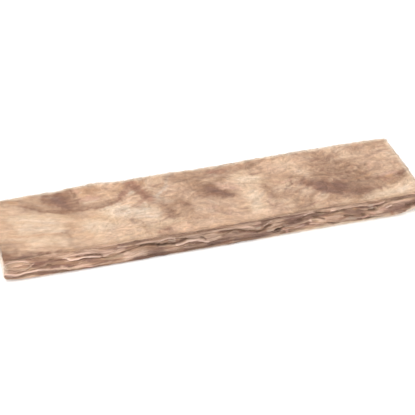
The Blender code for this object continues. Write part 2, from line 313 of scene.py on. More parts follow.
# The near side's main layers, from the underside up: each line is where two of them meet, as (x,
# height). The lines are by turns a hollow and a lip.
NEAR_LAYER_LINES = (
    ((-1.22, 0.030), (-1.18, 0.022), (-1.15, 0.017), (-1.12, 0.020), (-1.07, 0.026), (-1.00, 0.020),
     (-0.92, 0.011), (-0.82, 0.009), (-0.70, 0.010), (-0.60, 0.012), (-0.50, 0.018), (-0.42, 0.026),
     (-0.36, 0.020), (-0.26, 0.015), (-0.16, 0.014), (-0.07, 0.019), (0.05, 0.022), (0.15, 0.020),
     (0.25, 0.018), (0.32, 0.022), (0.40, 0.027), (0.50, 0.022), (0.62, 0.024), (0.72, 0.022),
     (0.84, 0.018), (0.95, 0.017), (1.02, 0.013), (1.10, 0.022), (1.22, 0.028)),
    ((-1.22, 0.048), (-1.19, 0.038), (-1.16, 0.027), (-1.12, 0.034), (-1.06, 0.038), (-1.00, 0.033),
     (-0.95, 0.029), (-0.90, 0.030), (-0.86, 0.022), (-0.79, 0.026), (-0.72, 0.020), (-0.62, 0.028),
     (-0.55, 0.034), (-0.48, 0.042), (-0.42, 0.046), (-0.36, 0.034), (-0.30, 0.031), (-0.24, 0.036),
     (-0.18, 0.034), (-0.10, 0.034), (0.00, 0.036), (0.10, 0.036), (0.20, 0.034), (0.28, 0.032),
     (0.34, 0.040), (0.40, 0.038), (0.50, 0.046), (0.58, 0.039), (0.66, 0.030), (0.75, 0.038),
     (0.85, 0.036), (0.92, 0.032), (1.00, 0.040), (1.08, 0.038), (1.15, 0.042), (1.22, 0.036)),
    ((-1.22, 0.060), (-1.14, 0.050), (-1.08, 0.051), (-1.00, 0.057), (-0.92, 0.062), (-0.85, 0.060),
     (-0.77, 0.066), (-0.71, 0.060), (-0.66, 0.052), (-0.60, 0.060), (-0.52, 0.074), (-0.46, 0.084),
     (-0.40, 0.076), (-0.36, 0.070), (-0.32, 0.069), (-0.28, 0.064), (-0.22, 0.078), (-0.16, 0.073),
     (-0.12, 0.068), (-0.09, 0.060), (-0.04, 0.066), (0.03, 0.078), (0.09, 0.076), (0.15, 0.065),
     (0.20, 0.052), (0.25, 0.066), (0.30, 0.082), (0.36, 0.084), (0.42, 0.076), (0.47, 0.082),
     (0.51, 0.099), (0.56, 0.107), (0.61, 0.101), (0.66, 0.092), (0.73, 0.092), (0.80, 0.078),
     (0.86, 0.070), (0.92, 0.066), (0.97, 0.085), (1.03, 0.098), (1.12, 0.102), (1.22, 0.092)),
    ((-1.22, 0.108), (-1.18, 0.119), (-1.14, 0.118), (-1.09, 0.098), (-1.03, 0.092), (-0.97, 0.088),
     (-0.92, 0.087), (-0.86, 0.096), (-0.80, 0.100), (-0.72, 0.094), (-0.66, 0.086), (-0.62, 0.090),
     (-0.57, 0.098), (-0.50, 0.100), (-0.44, 0.104), (-0.38, 0.100), (-0.31, 0.103), (-0.26, 0.096),
     (-0.20, 0.095), (-0.14, 0.097), (-0.06, 0.096), (0.04, 0.099), (0.14, 0.088), (0.20, 0.078),
     (0.24, 0.085), (0.28, 0.099), (0.33, 0.104), (0.40, 0.100), (0.46, 0.104), (0.51, 0.111),
     (0.56, 0.118), (0.62, 0.113), (0.70, 0.110), (0.78, 0.108), (0.86, 0.102), (0.93, 0.097),
     (1.00, 0.106), (1.08, 0.111), (1.15, 0.112), (1.22, 0.104)),
    ((-1.22, 0.126), (-1.17, 0.132), (-1.10, 0.130), (-1.06, 0.119), (-1.00, 0.106), (-0.92, 0.108),
     (-0.85, 0.117), (-0.78, 0.120), (-0.70, 0.113), (-0.65, 0.112), (-0.58, 0.118), (-0.50, 0.118),
     (-0.42, 0.120), (-0.35, 0.113), (-0.28, 0.112), (-0.20, 0.108), (-0.13, 0.114), (-0.05, 0.119),
     (0.05, 0.119), (0.13, 0.117), (0.20, 0.110), (0.26, 0.112), (0.33, 0.118), (0.42, 0.118),
     (0.50, 0.124), (0.58, 0.127), (0.65, 0.123), (0.75, 0.122), (0.85, 0.117), (0.92, 0.116),
     (1.00, 0.118), (1.08, 0.121), (1.15, 0.119), (1.22, 0.113)),
)

# More on the near side: x along the pad, and height. A narrow pale one is a lip that stands out, its pale
# painted highlight, and an umber or black one a hollow, its dark painted shade
NEAR_SIDE_DAUBS = (
    (OLIVE_GREY, ((-1.20, 0.084), (-1.15, 0.090), (-1.10, 0.082)), 0.022, 0.35),
    (BROWN, ((-1.215, 0.076), (-1.19, 0.092), (-1.155, 0.102), (-1.12, 0.097)), 0.0035, 0.80),
    (BROWN, ((-1.18, 0.066), (-1.14, 0.078), (-1.10, 0.076)), 0.0035, 0.70),
    (FAWN, ((-1.205, 0.072), (-1.17, 0.088), (-1.13, 0.088)), 0.0030, 0.80),
    (FAWN, ((-1.17, 0.056), (-1.12, 0.060), (-1.085, 0.072), (-1.070, 0.086)), 0.0040, 0.80),
    (BROWN, ((-1.10, 0.108), (-1.03, 0.104), (-0.96, 0.098)), 0.012, 0.75),
    (BROWN, ((-1.06, 0.120), (-1.00, 0.104), (-0.96, 0.094), (-0.93, 0.088)), 0.012, 0.80),
    (REDDISH, ((-1.05, 0.084), (-0.98, 0.078), (-0.91, 0.066)), 0.020, 0.55),
    (REDDISH, ((-0.93, 0.056), (-0.87, 0.056), (-0.82, 0.050)), 0.008, 0.75),
    (OLIVE_GREY, ((-0.92, 0.017), (-0.80, 0.016)), 0.009, 0.70),
    (FAWN, ((-0.69, 0.078), (-0.61, 0.077), (-0.57, 0.082)), 0.009, 0.80),
    (BROWN, ((-0.72, 0.030), (-0.64, 0.030), (-0.58, 0.036)), 0.018, 0.65),
    (OLIVE_GREY, ((-0.66, 0.048), (-0.58, 0.052)), 0.010, 0.60),
    (MAUVE, ((-0.20, 0.027), (-0.13, 0.026), (-0.07, 0.028)), 0.012, 0.75),
    (MAUVE, ((0.07, 0.030), (0.15, 0.028), (0.23, 0.026)), 0.013, 0.75),
    (MAUVE, ((0.00, 0.053), (0.06, 0.057), (0.11, 0.056), (0.17, 0.050), (0.26, 0.045)), 0.015, 0.58),
    (REDDISH, ((0.10, 0.068), (0.18, 0.058), (0.25, 0.052)), 0.008, 0.60),
    (FAWN, ((0.08, 0.110), (0.15, 0.108), (0.22, 0.103)), 0.008, 0.75),
    (PEACH, ((0.40, 0.027), (0.46, 0.028), (0.53, 0.026)), 0.010, 0.80),
    (FAWN, ((0.66, 0.113), (0.77, 0.112), (0.87, 0.109)), 0.010, 0.75),
    (MAUVE, ((0.97, 0.050), (1.05, 0.058), (1.13, 0.064), (1.20, 0.076)), 0.019, 0.85),
    (REDDISH, ((-1.20, 0.062), (-1.15, 0.050), (-1.10, 0.048)), 0.008, 0.60),
    (UMBER, ((-1.21, 0.073), (-1.17, 0.064), (-1.12, 0.056)), 0.0035, 0.55),
    (REDDISH, ((1.06, 0.044), (1.12, 0.046)), 0.010, 0.60),
    (TAN, ((-1.18, 0.090), (-1.12, 0.085)), 0.018, 0.60),
    (GREY_CREAM, ((-1.215, 0.100), (-1.210, 0.064)), 0.010, 0.60),
    (BROWN, ((-0.99, 0.064), (-0.93, 0.064), (-0.86, 0.058), (-0.83, 0.050)), 0.008, 0.75),
    (BROWN, ((-0.74, 0.045), (-0.70, 0.045)), 0.012, 0.60),
    (MAUVE, ((-0.79, 0.012), (-0.70, 0.008)), 0.008, 0.60),
    (BROWN, ((-0.64, 0.072), (-0.63, 0.062)), 0.014, 0.50),
    (BROWN, ((-0.70, 0.110), (-0.65, 0.108), (-0.62, 0.100)), 0.010, 0.70),
    (GREY_CREAM, ((-1.12, 0.004), (-0.95, 0.004)), 0.006, 0.45),
    (BROWN, ((-0.53, 0.075), (-0.46, 0.075), (-0.40, 0.062)), 0.014, 0.70),
    (MAUVE, ((-0.42, 0.040), (-0.36, 0.045), (-0.35, 0.030)), 0.014, 0.65),
    (RUST, ((-0.31, 0.035), (-0.28, 0.028)), 0.012, 0.45),
    (BROWN, ((-0.42, 0.118), (-0.36, 0.110), (-0.33, 0.108)), 0.008, 0.60),
    (GREY_CREAM, ((-0.31, 0.088), (-0.28, 0.080)), 0.007, 0.60),
    (MAUVE, ((-0.50, 0.021), (-0.46, 0.023)), 0.009, 0.85),
    (RUST, ((-0.25, 0.018), (-0.23, 0.017)), 0.008, 0.60),
    (MAUVE, ((-0.20, 0.045), (-0.19, 0.036)), 0.008, 0.50),
    (BROWN, ((-0.17, 0.030), (-0.12, 0.028)), 0.012, 0.60),
    (MAUVE, ((-0.08, 0.033), (-0.03, 0.030)), 0.012, 0.85),
    (BROWN, ((-0.20, 0.108), (-0.16, 0.107), (-0.13, 0.114), (-0.08, 0.118), (0.00, 0.119),
             (0.06, 0.117)), 0.0065, 0.80),
    (RUST, ((-0.03, 0.120), (0.01, 0.120)), 0.006, 0.60),
    (RUST, ((0.00, 0.028), (0.04, 0.023)), 0.012, 0.70),
    (BROWN, ((0.11, 0.022), (0.16, 0.013)), 0.014, 0.60),
    (MAUVE, ((0.12, 0.045), (0.18, 0.046)), 0.008, 0.70),
    (MAUVE, ((0.20, 0.030), (0.26, 0.024)), 0.014, 0.60),
    (GREY_CREAM, ((0.22, 0.010), (0.28, 0.008)), 0.008, 0.60),
    (PINK, ((0.20, 0.098), (0.22, 0.095)), 0.009, 0.50),
    (GREY_CREAM, ((0.20, 0.070), (0.22, 0.072)), 0.006, 0.60),
    (FAWN, ((0.305, 0.076), (0.33, 0.066), (0.34, 0.058)), 0.008, 0.75),
    (GREY_CREAM, ((0.36, 0.062), (0.38, 0.058)), 0.006, 0.60),
    (GREY_CREAM, ((0.26, 0.050), (0.29, 0.046)), 0.006, 0.50),
    (MAUVE, ((0.36, 0.064), (0.42, 0.066), (0.49, 0.078), (0.56, 0.090)), 0.012, 0.70),
    (MAUVE, ((0.50, 0.076), (0.51, 0.085)), 0.008, 0.60),
    (CREAM, ((0.42, 0.010), (0.52, 0.014), (0.62, 0.010)), 0.010, 0.75),
    (PINK, ((0.46, 0.034), (0.56, 0.028)), 0.008, 0.50),
    (BROWN, ((0.62, 0.085), (0.67, 0.088)), 0.018, 0.40),
    (BROWN, ((0.62, 0.050), (0.70, 0.045)), 0.012, 0.60),
    (MAUVE, ((0.75, 0.080), (0.80, 0.070), (0.84, 0.062)), 0.018, 0.65),
    (ORANGE, ((0.79, 0.096), (0.80, 0.086)), 0.008, 0.50),
    (GREY_CREAM, ((0.89, 0.092), (0.90, 0.082)), 0.012, 0.75),
    (PINK, ((0.93, 0.096), (0.95, 0.092)), 0.006, 0.70),
    (PINK, ((0.95, 0.062), (0.98, 0.064)), 0.009, 0.60),
    (GREY_CREAM, ((0.75, 0.040), (0.78, 0.032)), 0.008, 0.70),
    (RUST, ((1.00, 0.040), (1.01, 0.026), (0.995, 0.014)), 0.007, 0.80),
    (MAUVE, ((1.04, 0.050), (1.06, 0.028)), 0.014, 0.75),
    (RUST, ((1.080, 0.037), (1.085, 0.028)), 0.006, 0.80),
    (BROWN, ((0.87, 0.113), (0.93, 0.113), (1.00, 0.115)), 0.006, 0.75),
    (BROWN, ((1.06, 0.124), (1.12, 0.122), (1.22, 0.112)), 0.005, 0.70),
    (PEACH, ((1.10, 0.092), (1.16, 0.096), (1.22, 0.086)), 0.007, 0.70),
    (CREAM, ((0.66, 0.009), (0.80, 0.009), (0.92, 0.006)), 0.008, 0.80),
    (FAWN, ((0.70, 0.112), (0.76, 0.115), (0.80, 0.112)), 0.009, 0.70),
    (UMBER, ((-1.18, 0.133), (-1.13, 0.131), (-1.09, 0.131)), 0.0065, 0.80),
    (UMBER, ((-0.990, 0.095), (-0.965, 0.092)), 0.0050, 0.70),
    (UMBER, ((-0.995, 0.066), (-0.975, 0.062)), 0.0045, 0.70),
    (SHELL_HIGHLIGHT, ((-1.215, 0.111), (-1.18, 0.119), (-1.15, 0.120), (-1.12, 0.113),
             (-1.10, 0.102)), 0.0050, 0.75),
    (FAWN, ((-1.12, 0.096), (-1.10, 0.088), (-1.085, 0.072)), 0.0030, 0.60),
    (FAWN, ((-0.905, 0.088), (-0.85, 0.098), (-0.80, 0.100), (-0.74, 0.094), (-0.69, 0.088),
            (-0.64, 0.083)), 0.0095, 0.90),
    (SHELL_HIGHLIGHT, ((-0.905, 0.086), (-0.87, 0.074), (-0.83, 0.070), (-0.79, 0.073),
             (-0.76, 0.071)), 0.0045, 1.00),
    (SHELL_HIGHLIGHT, ((-0.76, 0.071), (-0.71, 0.063)), 0.0034, 0.85),
    (SHELL_HIGHLIGHT, ((-0.71, 0.063), (-0.67, 0.066), (-0.63, 0.072)), 0.0026, 0.60),
    (UMBER, ((-0.838, 0.084), (-0.822, 0.082)), 0.0045, 0.75),
    (UMBER, ((-0.79, 0.084), (-0.74, 0.080), (-0.70, 0.070), (-0.69, 0.064)), 0.0040, 0.85),
    (SHELL_HIGHLIGHT, ((-1.215, 0.054), (-1.185, 0.046), (-1.16, 0.042), (-1.125, 0.043), (-1.08, 0.048),
             (-1.04, 0.050), (-0.98, 0.045)), 0.0034, 0.90),
    (FAWN, ((-1.00, 0.046), (-0.94, 0.040), (-0.88, 0.036)), 0.0036, 0.80),
    (FAWN, ((-0.91, 0.045), (-0.885, 0.035), (-0.865, 0.022)), 0.0060, 0.60),
    (UMBER, ((-1.17, 0.026), (-1.13, 0.026), (-1.07, 0.034), (-1.00, 0.032), (-0.93, 0.024),
             (-0.85, 0.014)), 0.0042, 0.75),
    (PINK, ((-0.79, 0.026), (-0.74, 0.017)), 0.0030, 0.70),
    (FAWN, ((-0.60, 0.098), (-0.56, 0.097)), 0.0055, 0.75),
    (FAWN, ((-0.50, 0.098), (-0.46, 0.103), (-0.42, 0.102), (-0.38, 0.098)), 0.0060, 0.65),
    (SHELL_HIGHLIGHT, ((-0.365, 0.094), (-0.34, 0.099), (-0.315, 0.104), (-0.285, 0.096),
             (-0.275, 0.088)), 0.0040, 0.80),
    (UMBER, ((-0.475, 0.082), (-0.44, 0.086), (-0.42, 0.080), (-0.395, 0.078),
             (-0.37, 0.070)), 0.0060, 0.95),
    (PIT_SHADE, ((-0.375, 0.070), (-0.350, 0.069), (-0.325, 0.071)), 0.0050, 0.90),
    (UMBER, ((-0.32, 0.069), (-0.28, 0.063)), 0.0040, 0.85),
    (UMBER, ((-0.43, 0.025), (-0.39, 0.024)), 0.0040, 0.60),
    (UMBER, ((-0.39, 0.009), (-0.37, 0.009)), 0.0050, 0.60),
    (SHELL_HIGHLIGHT, ((-0.27, 0.056), (-0.23, 0.058), (-0.205, 0.067), (-0.185, 0.066), (-0.15, 0.066),
             (-0.13, 0.058), (-0.105, 0.049), (-0.085, 0.048)), 0.0050, 1.00),
    (UMBER, ((-0.245, 0.086), (-0.215, 0.082)), 0.0050, 0.90),
    (UMBER, ((-0.13, 0.075), (-0.115, 0.069), (-0.10, 0.059)), 0.0035, 0.90),
    (FAWN, ((-0.06, 0.052), (-0.03, 0.057), (-0.01, 0.060)), 0.0055, 0.80),
    (UMBER, ((-0.070, 0.020), (-0.055, 0.019)), 0.0060, 0.80),
    (FAWN, ((-0.25, 0.096), (-0.20, 0.094), (-0.14, 0.097), (-0.06, 0.100)), 0.0045, 0.50),
    (FAWN, ((0.02, 0.098), (0.08, 0.096), (0.14, 0.086), (0.17, 0.082)), 0.0055, 0.65),
    (UMBER, ((0.03, 0.080), (0.06, 0.082), (0.09, 0.078), (0.125, 0.070), (0.15, 0.066), (0.18, 0.060),
             (0.20, 0.050)), 0.0035, 0.80),
    (UMBER, ((0.20, 0.052), (0.23, 0.056), (0.255, 0.068), (0.285, 0.075)), 0.0055, 0.95),
    (UMBER, ((0.06, 0.072), (0.085, 0.062)), 0.0030, 0.60),
    (SHELL_HIGHLIGHT, ((0.245, 0.080), (0.26, 0.086), (0.28, 0.094), (0.285, 0.101)), 0.0045, 0.90),
    (UMBER, ((0.28, 0.038), (0.31, 0.032), (0.33, 0.036)), 0.0055, 0.80),
    (PIT_SHADE, ((0.305, 0.044), (0.325, 0.048), (0.335, 0.046)), 0.0060, 1.00),
    (PIT_SHADE, ((0.340, 0.052), (0.360, 0.054)), 0.0040, 0.90),
    (PINK, ((0.355, 0.042), (0.365, 0.033), (0.378, 0.026), (0.372, 0.016)), 0.0055, 0.95),
    (BROWN, ((0.39, 0.043), (0.42, 0.035), (0.435, 0.030)), 0.0050, 0.75),
    (UMBER, ((0.45, 0.081), (0.475, 0.078)), 0.0070, 0.80),
    (UMBER, ((0.485, 0.088), (0.50, 0.098), (0.53, 0.104)), 0.0055, 0.85),
    (SHELL_HIGHLIGHT, ((0.485, 0.105), (0.505, 0.111), (0.535, 0.117)), 0.0045, 0.85),
    (UMBER, ((0.555, 0.116), (0.57, 0.106), (0.60, 0.100)), 0.0045, 0.60),
    (UMBER, ((0.545, 0.079), (0.57, 0.074), (0.60, 0.062)), 0.0060, 0.85),
    (SHELL_HIGHLIGHT, ((0.515, 0.068), (0.520, 0.060)), 0.0055, 0.80),
    (UMBER, ((0.49, 0.051), (0.51, 0.047)), 0.0040, 0.70),
    (FAWN, ((0.52, 0.047), (0.56, 0.043), (0.59, 0.038)), 0.0035, 0.70),
    (SHELL_HIGHLIGHT, ((0.650, 0.104), (0.668, 0.103)), 0.0055, 0.80),
    (UMBER, ((0.62, 0.038), (0.64, 0.029), (0.66, 0.026)), 0.0050, 0.75),
    (UMBER, ((0.72, 0.097), (0.74, 0.090)), 0.0045, 0.70),
    (UMBER, ((0.725, 0.060), (0.75, 0.056), (0.78, 0.049)), 0.0055, 0.80),
    (UMBER, ((0.825, 0.050), (0.845, 0.049)), 0.0055, 0.80),
    (PINK, ((0.83, 0.030), (0.86, 0.040)), 0.0060, 0.90),
    (FAWN, ((0.870, 0.116), (0.865, 0.100)), 0.0040, 0.60),
    (UMBER, ((0.88, 0.068), (0.905, 0.066), (0.92, 0.068)), 0.0060, 0.95),
    (UMBER, ((0.94, 0.079), (0.97, 0.084), (0.985, 0.098)), 0.0050, 0.75),
    (SHELL_HIGHLIGHT, ((0.985, 0.068), (1.00, 0.072), (1.02, 0.073)), 0.0040, 0.90),
    (PINK, ((0.88, 0.052), (0.90, 0.044)), 0.0055, 0.75),
    (FAWN, ((1.03, 0.080), (1.06, 0.086)), 0.0050, 0.70),
    (UMBER, ((0.84, 0.019), (0.88, 0.022), (0.92, 0.017), (0.97, 0.019)), 0.0050, 0.85),
    (UMBER, ((0.99, 0.122), (0.99, 0.108)), 0.0060, 0.50),
    (UMBER, ((1.02, 0.106), (1.10, 0.108), (1.16, 0.106), (1.22, 0.099)), 0.0035, 0.65),
    (UMBER, ((1.11, 0.062), (1.13, 0.057), (1.16, 0.060), (1.22, 0.060)), 0.0065, 0.80),
)

# How light the near side's wool is along it
NEAR_SIDE_TONES = (
    (-1.22, 1.05), (-0.90, 1.05), (-0.60, 0.98), (-0.42, 0.86), (-0.10, 0.83), (0.25, 0.86), (0.42, 0.92),
    (0.80, 0.95), (1.22, 0.95),
)

# The layer lines on the other sides: their level, and how far each sways
HIDDEN_LAYER_LEVELS = (0.021, 0.040, 0.071, 0.098, 0.117)
HIDDEN_LAYER_SWAYS = (0.007, 0.012, 0.018, 0.012, 0.006)
LINE_STRENGTHS = (0.75, 0.90, 0.90, 0.75, 0.70)
LINE_WIDTH = 0.0034
CORNER_BLEND = 0.12
THINNEST_LAYER = 0.004

# How far every line between two layers is torn up and down
LINE_TEAR = 0.0016


# Lips and hollows on the three sides that the photograph doesn't show, drawn by chance: pale painted
# highlight on the lips, painted shade in the hollows
HIDDEN_SIDE_DAUBS = 170
HIDDEN_DAUB_SEED = 21
HIDDEN_DAUB_COLOURS = (SHELL_HIGHLIGHT, FAWN, PINK, UMBER, UMBER, PIT_SHADE)
HIDDEN_DAUB_LENGTHS = (0.08, 0.34)
HIDDEN_DAUB_WIDTHS = (0.0030, 0.0075)
HIDDEN_DAUB_STRENGTHS = (0.5, 0.95)
HIDDEN_DAUB_STARTS = (0.014, 0.120)
HIDDEN_DAUB_WAVER = 0.006
HIDDEN_DAUB_HEIGHTS = (0.010, 0.126)
HIDDEN_DAUB_STEPS = 3

# The bottom edge on those sides: its radius, and how much that varies
HIDDEN_FOOT_RADIUS = 0.013
HIDDEN_FOOT_SPREAD = 0.005

# How far a lip stands out of the cut face, how deep a hollow runs into it, and the range that
# they stay in
LIP_OUT = 0.0036
HOLLOW_IN = 0.0075
SIDE_DEPTH_RANGE = (-0.004, 0.018)

# The cut face between its lines: how far back it stands, and how far its layers, lumps and bands
# move it
SIDE_SET_BACK = 0.0030
LAMINA_RELIEF = 0.0030
LUMP_RELIEF = 0.0026
BAND_RELIEF = 0.0026

# Colours of the cut wool. The shade is made of bands, layers, blotches and lumps, in these
# shares. Each coat has its colour, how sharply it sets in with the hue or the shade, and its
# strength
SIDE_BROWN_SHARE = 0.50
SIDE_SHADE_SHARES = (0.55, 0.45, 0.60, -0.10)
SIDE_SHADE_SHIFT = 0.03
SIDE_HUE_COATS = ((REDDISH, 2.5, 0.50), (OLIVE_GREY, -2.5, 0.55))
SIDE_SHADE_COATS = ((FAWN, 3.3, 0.92), (MAUVE, -3.3, 0.92))

# Where two layers meet: how much of a line shows, and the strength of a hollow's painted shade and form
# and of a lip's painted highlight and form
LINE_SHOWS = 0.55
LINE_UMBER = 0.85
LINE_HOLLOW = 0.75
LINE_SHELL = 0.70
LINE_LIP = 0.8

# Daubs on the sides: how far they tear along and up the side, how soft their borders are, and how
# far from its path a daub is looked for
SIDE_TEAR_ALONG = 0.006
SIDE_TEAR_UP = 0.0022
SIDE_DAUB_SOFTNESS = 1.2
SIDE_DAUB_REACH = 0.02

# A daub wider than a lip is thinned by the layers under it, down to the thinnest
WIDEST_LIP = 0.0070
WIDE_DAUB_DENSITY = 0.88
WIDE_DAUB_THINNEST = 0.25

# The shadowed hollow under a lip: how far down, its width against the lip's, the darkness of its painted
# shadow and its depth
UNDER_LIP = 0.0075
UNDER_LIP_WIDTH = 0.6
UNDER_LIP_UMBER = 0.60
UNDER_LIP_HOLLOW = 0.5

# Below the rim of the top: a pale ragged fringe, and a broken dark line of painted shade in the hollow under
# it
FRINGE_DEPTH = 0.0050
FRINGE_STRENGTH = 0.65
FRINGE_LEAST = 0.4
RIM_LINE_DEPTH = 0.0135
RIM_LINE_WIDTH = 0.0026
RIM_LINE_WANDER = 0.0070
RIM_LINE_STRENGTH = 0.72
RIM_LINE_HOLLOW = 0.2
RIM_LINE_BREAKS = 1.5

# The near side's lower wool is darker from here on, below this height
DARK_FOOT = 0.12
DARK_FOOT_FROM = -0.60
DARK_FOOT_FADE = 0.25
DARK_FOOT_HEIGHT = 0.060
DARK_FOOT_RISE = 0.030

# The pale skin along the bottom of the near side, as (x along the pad, height it reaches), and
# its bleached end
PALE_SKIN_HEIGHTS = (
    (-1.22, 0.004), (-1.00, 0.007), (-0.80, 0.003), (-0.60, 0.002), (0.25, 0.004), (0.38, 0.014),
    (0.60, 0.018),
    (0.95, 0.016), (1.08, 0.024), (1.16, 0.044), (1.22, 0.052),
)
SKIN_TEAR = 0.003
SKIN_FADE = 0.006
SKIN_STRENGTH = 0.85
SKIN_BLEACH = 0.45
SKIN_BLEACH_FROM = 1.02
SKIN_BLEACH_FADE = 0.10

# The painted light on the left end's wool: how far back from the near corner it reaches, how sharply it sets
# in, how its bands and layers tear it, and how pale and how light it is painted
LEFT_END_PALE = 0.25
LEFT_END_ONSET = 1.5
LEFT_END_SHIFT = 0.1
LEFT_END_BAND_TEAR = 0.50
LEFT_END_LAMINA_TEAR = 0.35
LEFT_END_STRENGTH = 0.88
LEFT_END_LIFT = 0.22

# The sides get less light than the top, and their colours above are as seen: painted light makes them
# lighter, and more painted light lifts the turn of the top edge, most of it away from the near side
SIDE_LIFT = 1.20
RIM_LIFT = 0.20
FAR_RIM_LIFT = 0.35
RIM_LIFT_RINGS = 2.5

# Where the top's colours turn into the side's, in rings below the rim
TURN_START = 3
TURN_RINGS = TOP_EDGE_RINGS - 2

# How far the top edge tears and sways in and out, and over how many rings that fades
EDGE_TEAR = 0.0030
EDGE_SWAY = 0.0020
EDGE_TEAR_RINGS = 0.8 * TOP_EDGE_RINGS

# Tufts and folds of the top: their heights, how far they are pushed about, and how wide a fold is
TUFT_PUSH = 0.02
TUFT_HEIGHT = 0.0016
FOLD_DEPTH = 0.0030
FOLD_WIDTH = 0.10
TOP_SETTLES = 0.0005

# How the fibres lie on the top: along the pad at its left end, sloping a little to the near side,
# and in swirls over the rest
LEFT_FIBRE_ANGLE = math.radians(-19)
LEFT_FIBRES_END = -0.58
LEFT_FIBRES_FADE = 0.35
LEFT_FIBRES_CALM = 0.85
RIGHT_FIBRE_ANGLE = math.radians(12)
SWIRL_TURN = 1.5
COMB_STEP = 0.011
COMB_STEPS = 6

# The top's base coats: each has its colour, strength, and how it sets in with the mottle and with
# the streaks
STREAK_SHARE = 0.4
TOP_COATS = ((CREAM, 0.55, 0.4, 1.0, 0.4), (BROWN, 0.50, -0.15, -1.2, -0.4))

# Daubs on the top: how far they tear, coarsely and finely, and how thick they lie
TOP_TEAR = 0.014
TOP_FINE_TEAR = 0.008
DAUB_DENSITY = 0.88
DAUB_DENSITY_SPREAD = 0.45
DAUB_DENSITY_STREAKS = 0.07

# A daub narrower than this has a softer border
SMALL_DAUB = 0.030
SMALL_DAUB_SOFTNESS = 1.8
DAUB_SOFTNESS = 1.2

# The mottled brown zone behind the long dark patch
MOTTLED_ZONE = ((0.76, 0.15), (0.79, 0.10), (0.85, 0.06), (0.91, 0.01), (0.80, -0.01))
MOTTLED_HALF_WIDTH = 0.085
MOTTLED_STRENGTH = 0.65
SPOTS_SHOW = 0.25
SPOT_CONTRAST = 1.5

# The pale wool along the far and right rims of the top: partly bleached wool, and partly painted light
# glowing through the frayed edge
PALE_RIM_WIDTH = 0.022
PALE_RIM_STRENGTH = 0.75
PALE_RIM_SPREAD = 0.6

# The last light and dark over the top: loose swirls, locks of fibres, and streaks that are warmer
# in red and blue
SWIRL_TONE = 0.08
SWIRL_PUSH = 0.03
LOCK_TONE = 0.050
WARM_STREAK_TINT = (0.006, 0.0, -0.014)

# Short bent strokes scattered over the top: how many, how long, how wide (half widths) and how
# strong, how far they stray from the lie of the fibres and how much they bend
STRAY_CURLS = 420
STRAY_CURL_SEED = 33
STRAY_CURL_STEPS = 3
STRAY_CURL_LENGTHS = (0.03, 0.11)
STRAY_CURL_WIDTHS = (0.0045, 0.0085)
STRAY_CURL_STRENGTHS = (0.20, 0.60)
STRAY_CURL_TURN = 0.5
STRAY_CURL_BEND = 0.8
STRAY_CURL_SOFTNESS = 1.6
STRAY_CURL_REACH = 2.5

# Their colours, and the share of dark ones: at the left, how much more at the right, from where
# and over how far
DARK_CURLS = (BROWN, BROWN, REDDISH, MAUVE)
PALE_CURLS = (PALE, CREAM, PEACH, PINK)
DARK_CURL_SHARE = 0.35
DARK_CURL_RISE = 0.30
DARK_CURLS_FROM = -0.5
DARK_CURLS_FADE = 1.2

# Sideways shifts that soften the bends of a drawn line
BEND_SHIFTS = (-0.018, -0.009, 0.0, 0.009, 0.018)

# Soft random clouds, each as the size of its features in metres, its octaves and a seed. Three
# sizes are for x, y and height. A cloud that is used for several lines or ways takes the next
# seeds too
LINE_SWAY_CLOUD = (0.17, 2, 30)
LINE_TEAR_CLOUD = (0.028, 2, 40)
LINE_SHOWS_CLOUD = (0.09, 2, 70)
FOOT_CLOUD = (0.12, 2, 50)
TUFT_PUSH_CLOUD = (0.06, 2, 60)
TUFT_CLOUD = (0.075, 2, 1)
SMALL_TUFT_CLOUD = (0.030, 3, 2)
FOLD_CLOUD = ((0.12, 0.07, 0.2), 1, 3)
FOLDED_CLOUD = (0.15, 1, 62)
LUMP_CLOUD = ((0.055, 0.055, 0.026), 2, 8)
LAMINA_CLOUD = ((0.13, 0.13, 0.0062), 2, 7)
BAND_CLOUD = ((0.26, 0.26, 0.0130), 2, 10)
BLOTCH_CLOUD = ((0.11, 0.11, 0.030), 2, 13)
SIDE_HUE_CLOUD = ((0.16, 0.16, 0.014), 2, 11)
RIM_BREAK_CLOUD = (0.05, 3, 76)
RIM_WANDER_CLOUD = (0.075, 3, 77)
SIDE_TEAR_ALONG_CLOUD = ((0.03, 0.03, 0.012), 2, 12)
SIDE_TEAR_UP_CLOUD = ((0.035, 0.035, 0.012), 2, 14)
EDGE_TEAR_CLOUD = (0.045, 3, 90)
EDGE_SWAY_CLOUD = (0.22, 1, 91)
SWIRL_TURN_CLOUD = (0.24, 2, 80)
MOTTLE_CLOUD = ((0.10, 0.07, 0.1), 4, 13)
TEAR_X_CLOUD = (0.055, 3, 15)
TEAR_Y_CLOUD = (0.050, 3, 16)
FINE_TEAR_CLOUD = (0.020, 2, 24)
DENSITY_CLOUD = (0.032, 3, 17)
SPOT_CLOUD = (0.032, 3, 23)
PALE_RIM_CLOUD = (0.05, 2, 22)
LOOSE_SWIRL_CLOUD = (0.034, 2, 18)

# Clouds drawn out along the fibres, as a size, octaves and a seed
STREAKS = (0.040, 2, 14)
LOCKS = (0.019, 2, 19)
WARM_STREAKS = (0.030, 2, 20)
DENSITY_STREAKS = (0.016, 2, 21)

# What every cloud shares: how its octaves weaken and shrink, and how far apart two seeds lie
CLOUD_WEAKENS = 0.9
CLOUD_SHRINKS = 2.0
CLOUD_SEED_STEP = 17.3
CLOUD_START = 3.1

# How bleached a loose fibre is, lying on the wool or standing at an edge, with less of it near
# the near side
LYING_BLEACH = 0.15
EDGE_BLEACH = 0.65
NEAR_BLEACH_SHARE = 0.35
BLEACH_REACH = 0.10
BLEACH_SPREAD = (0.4, 1.0)

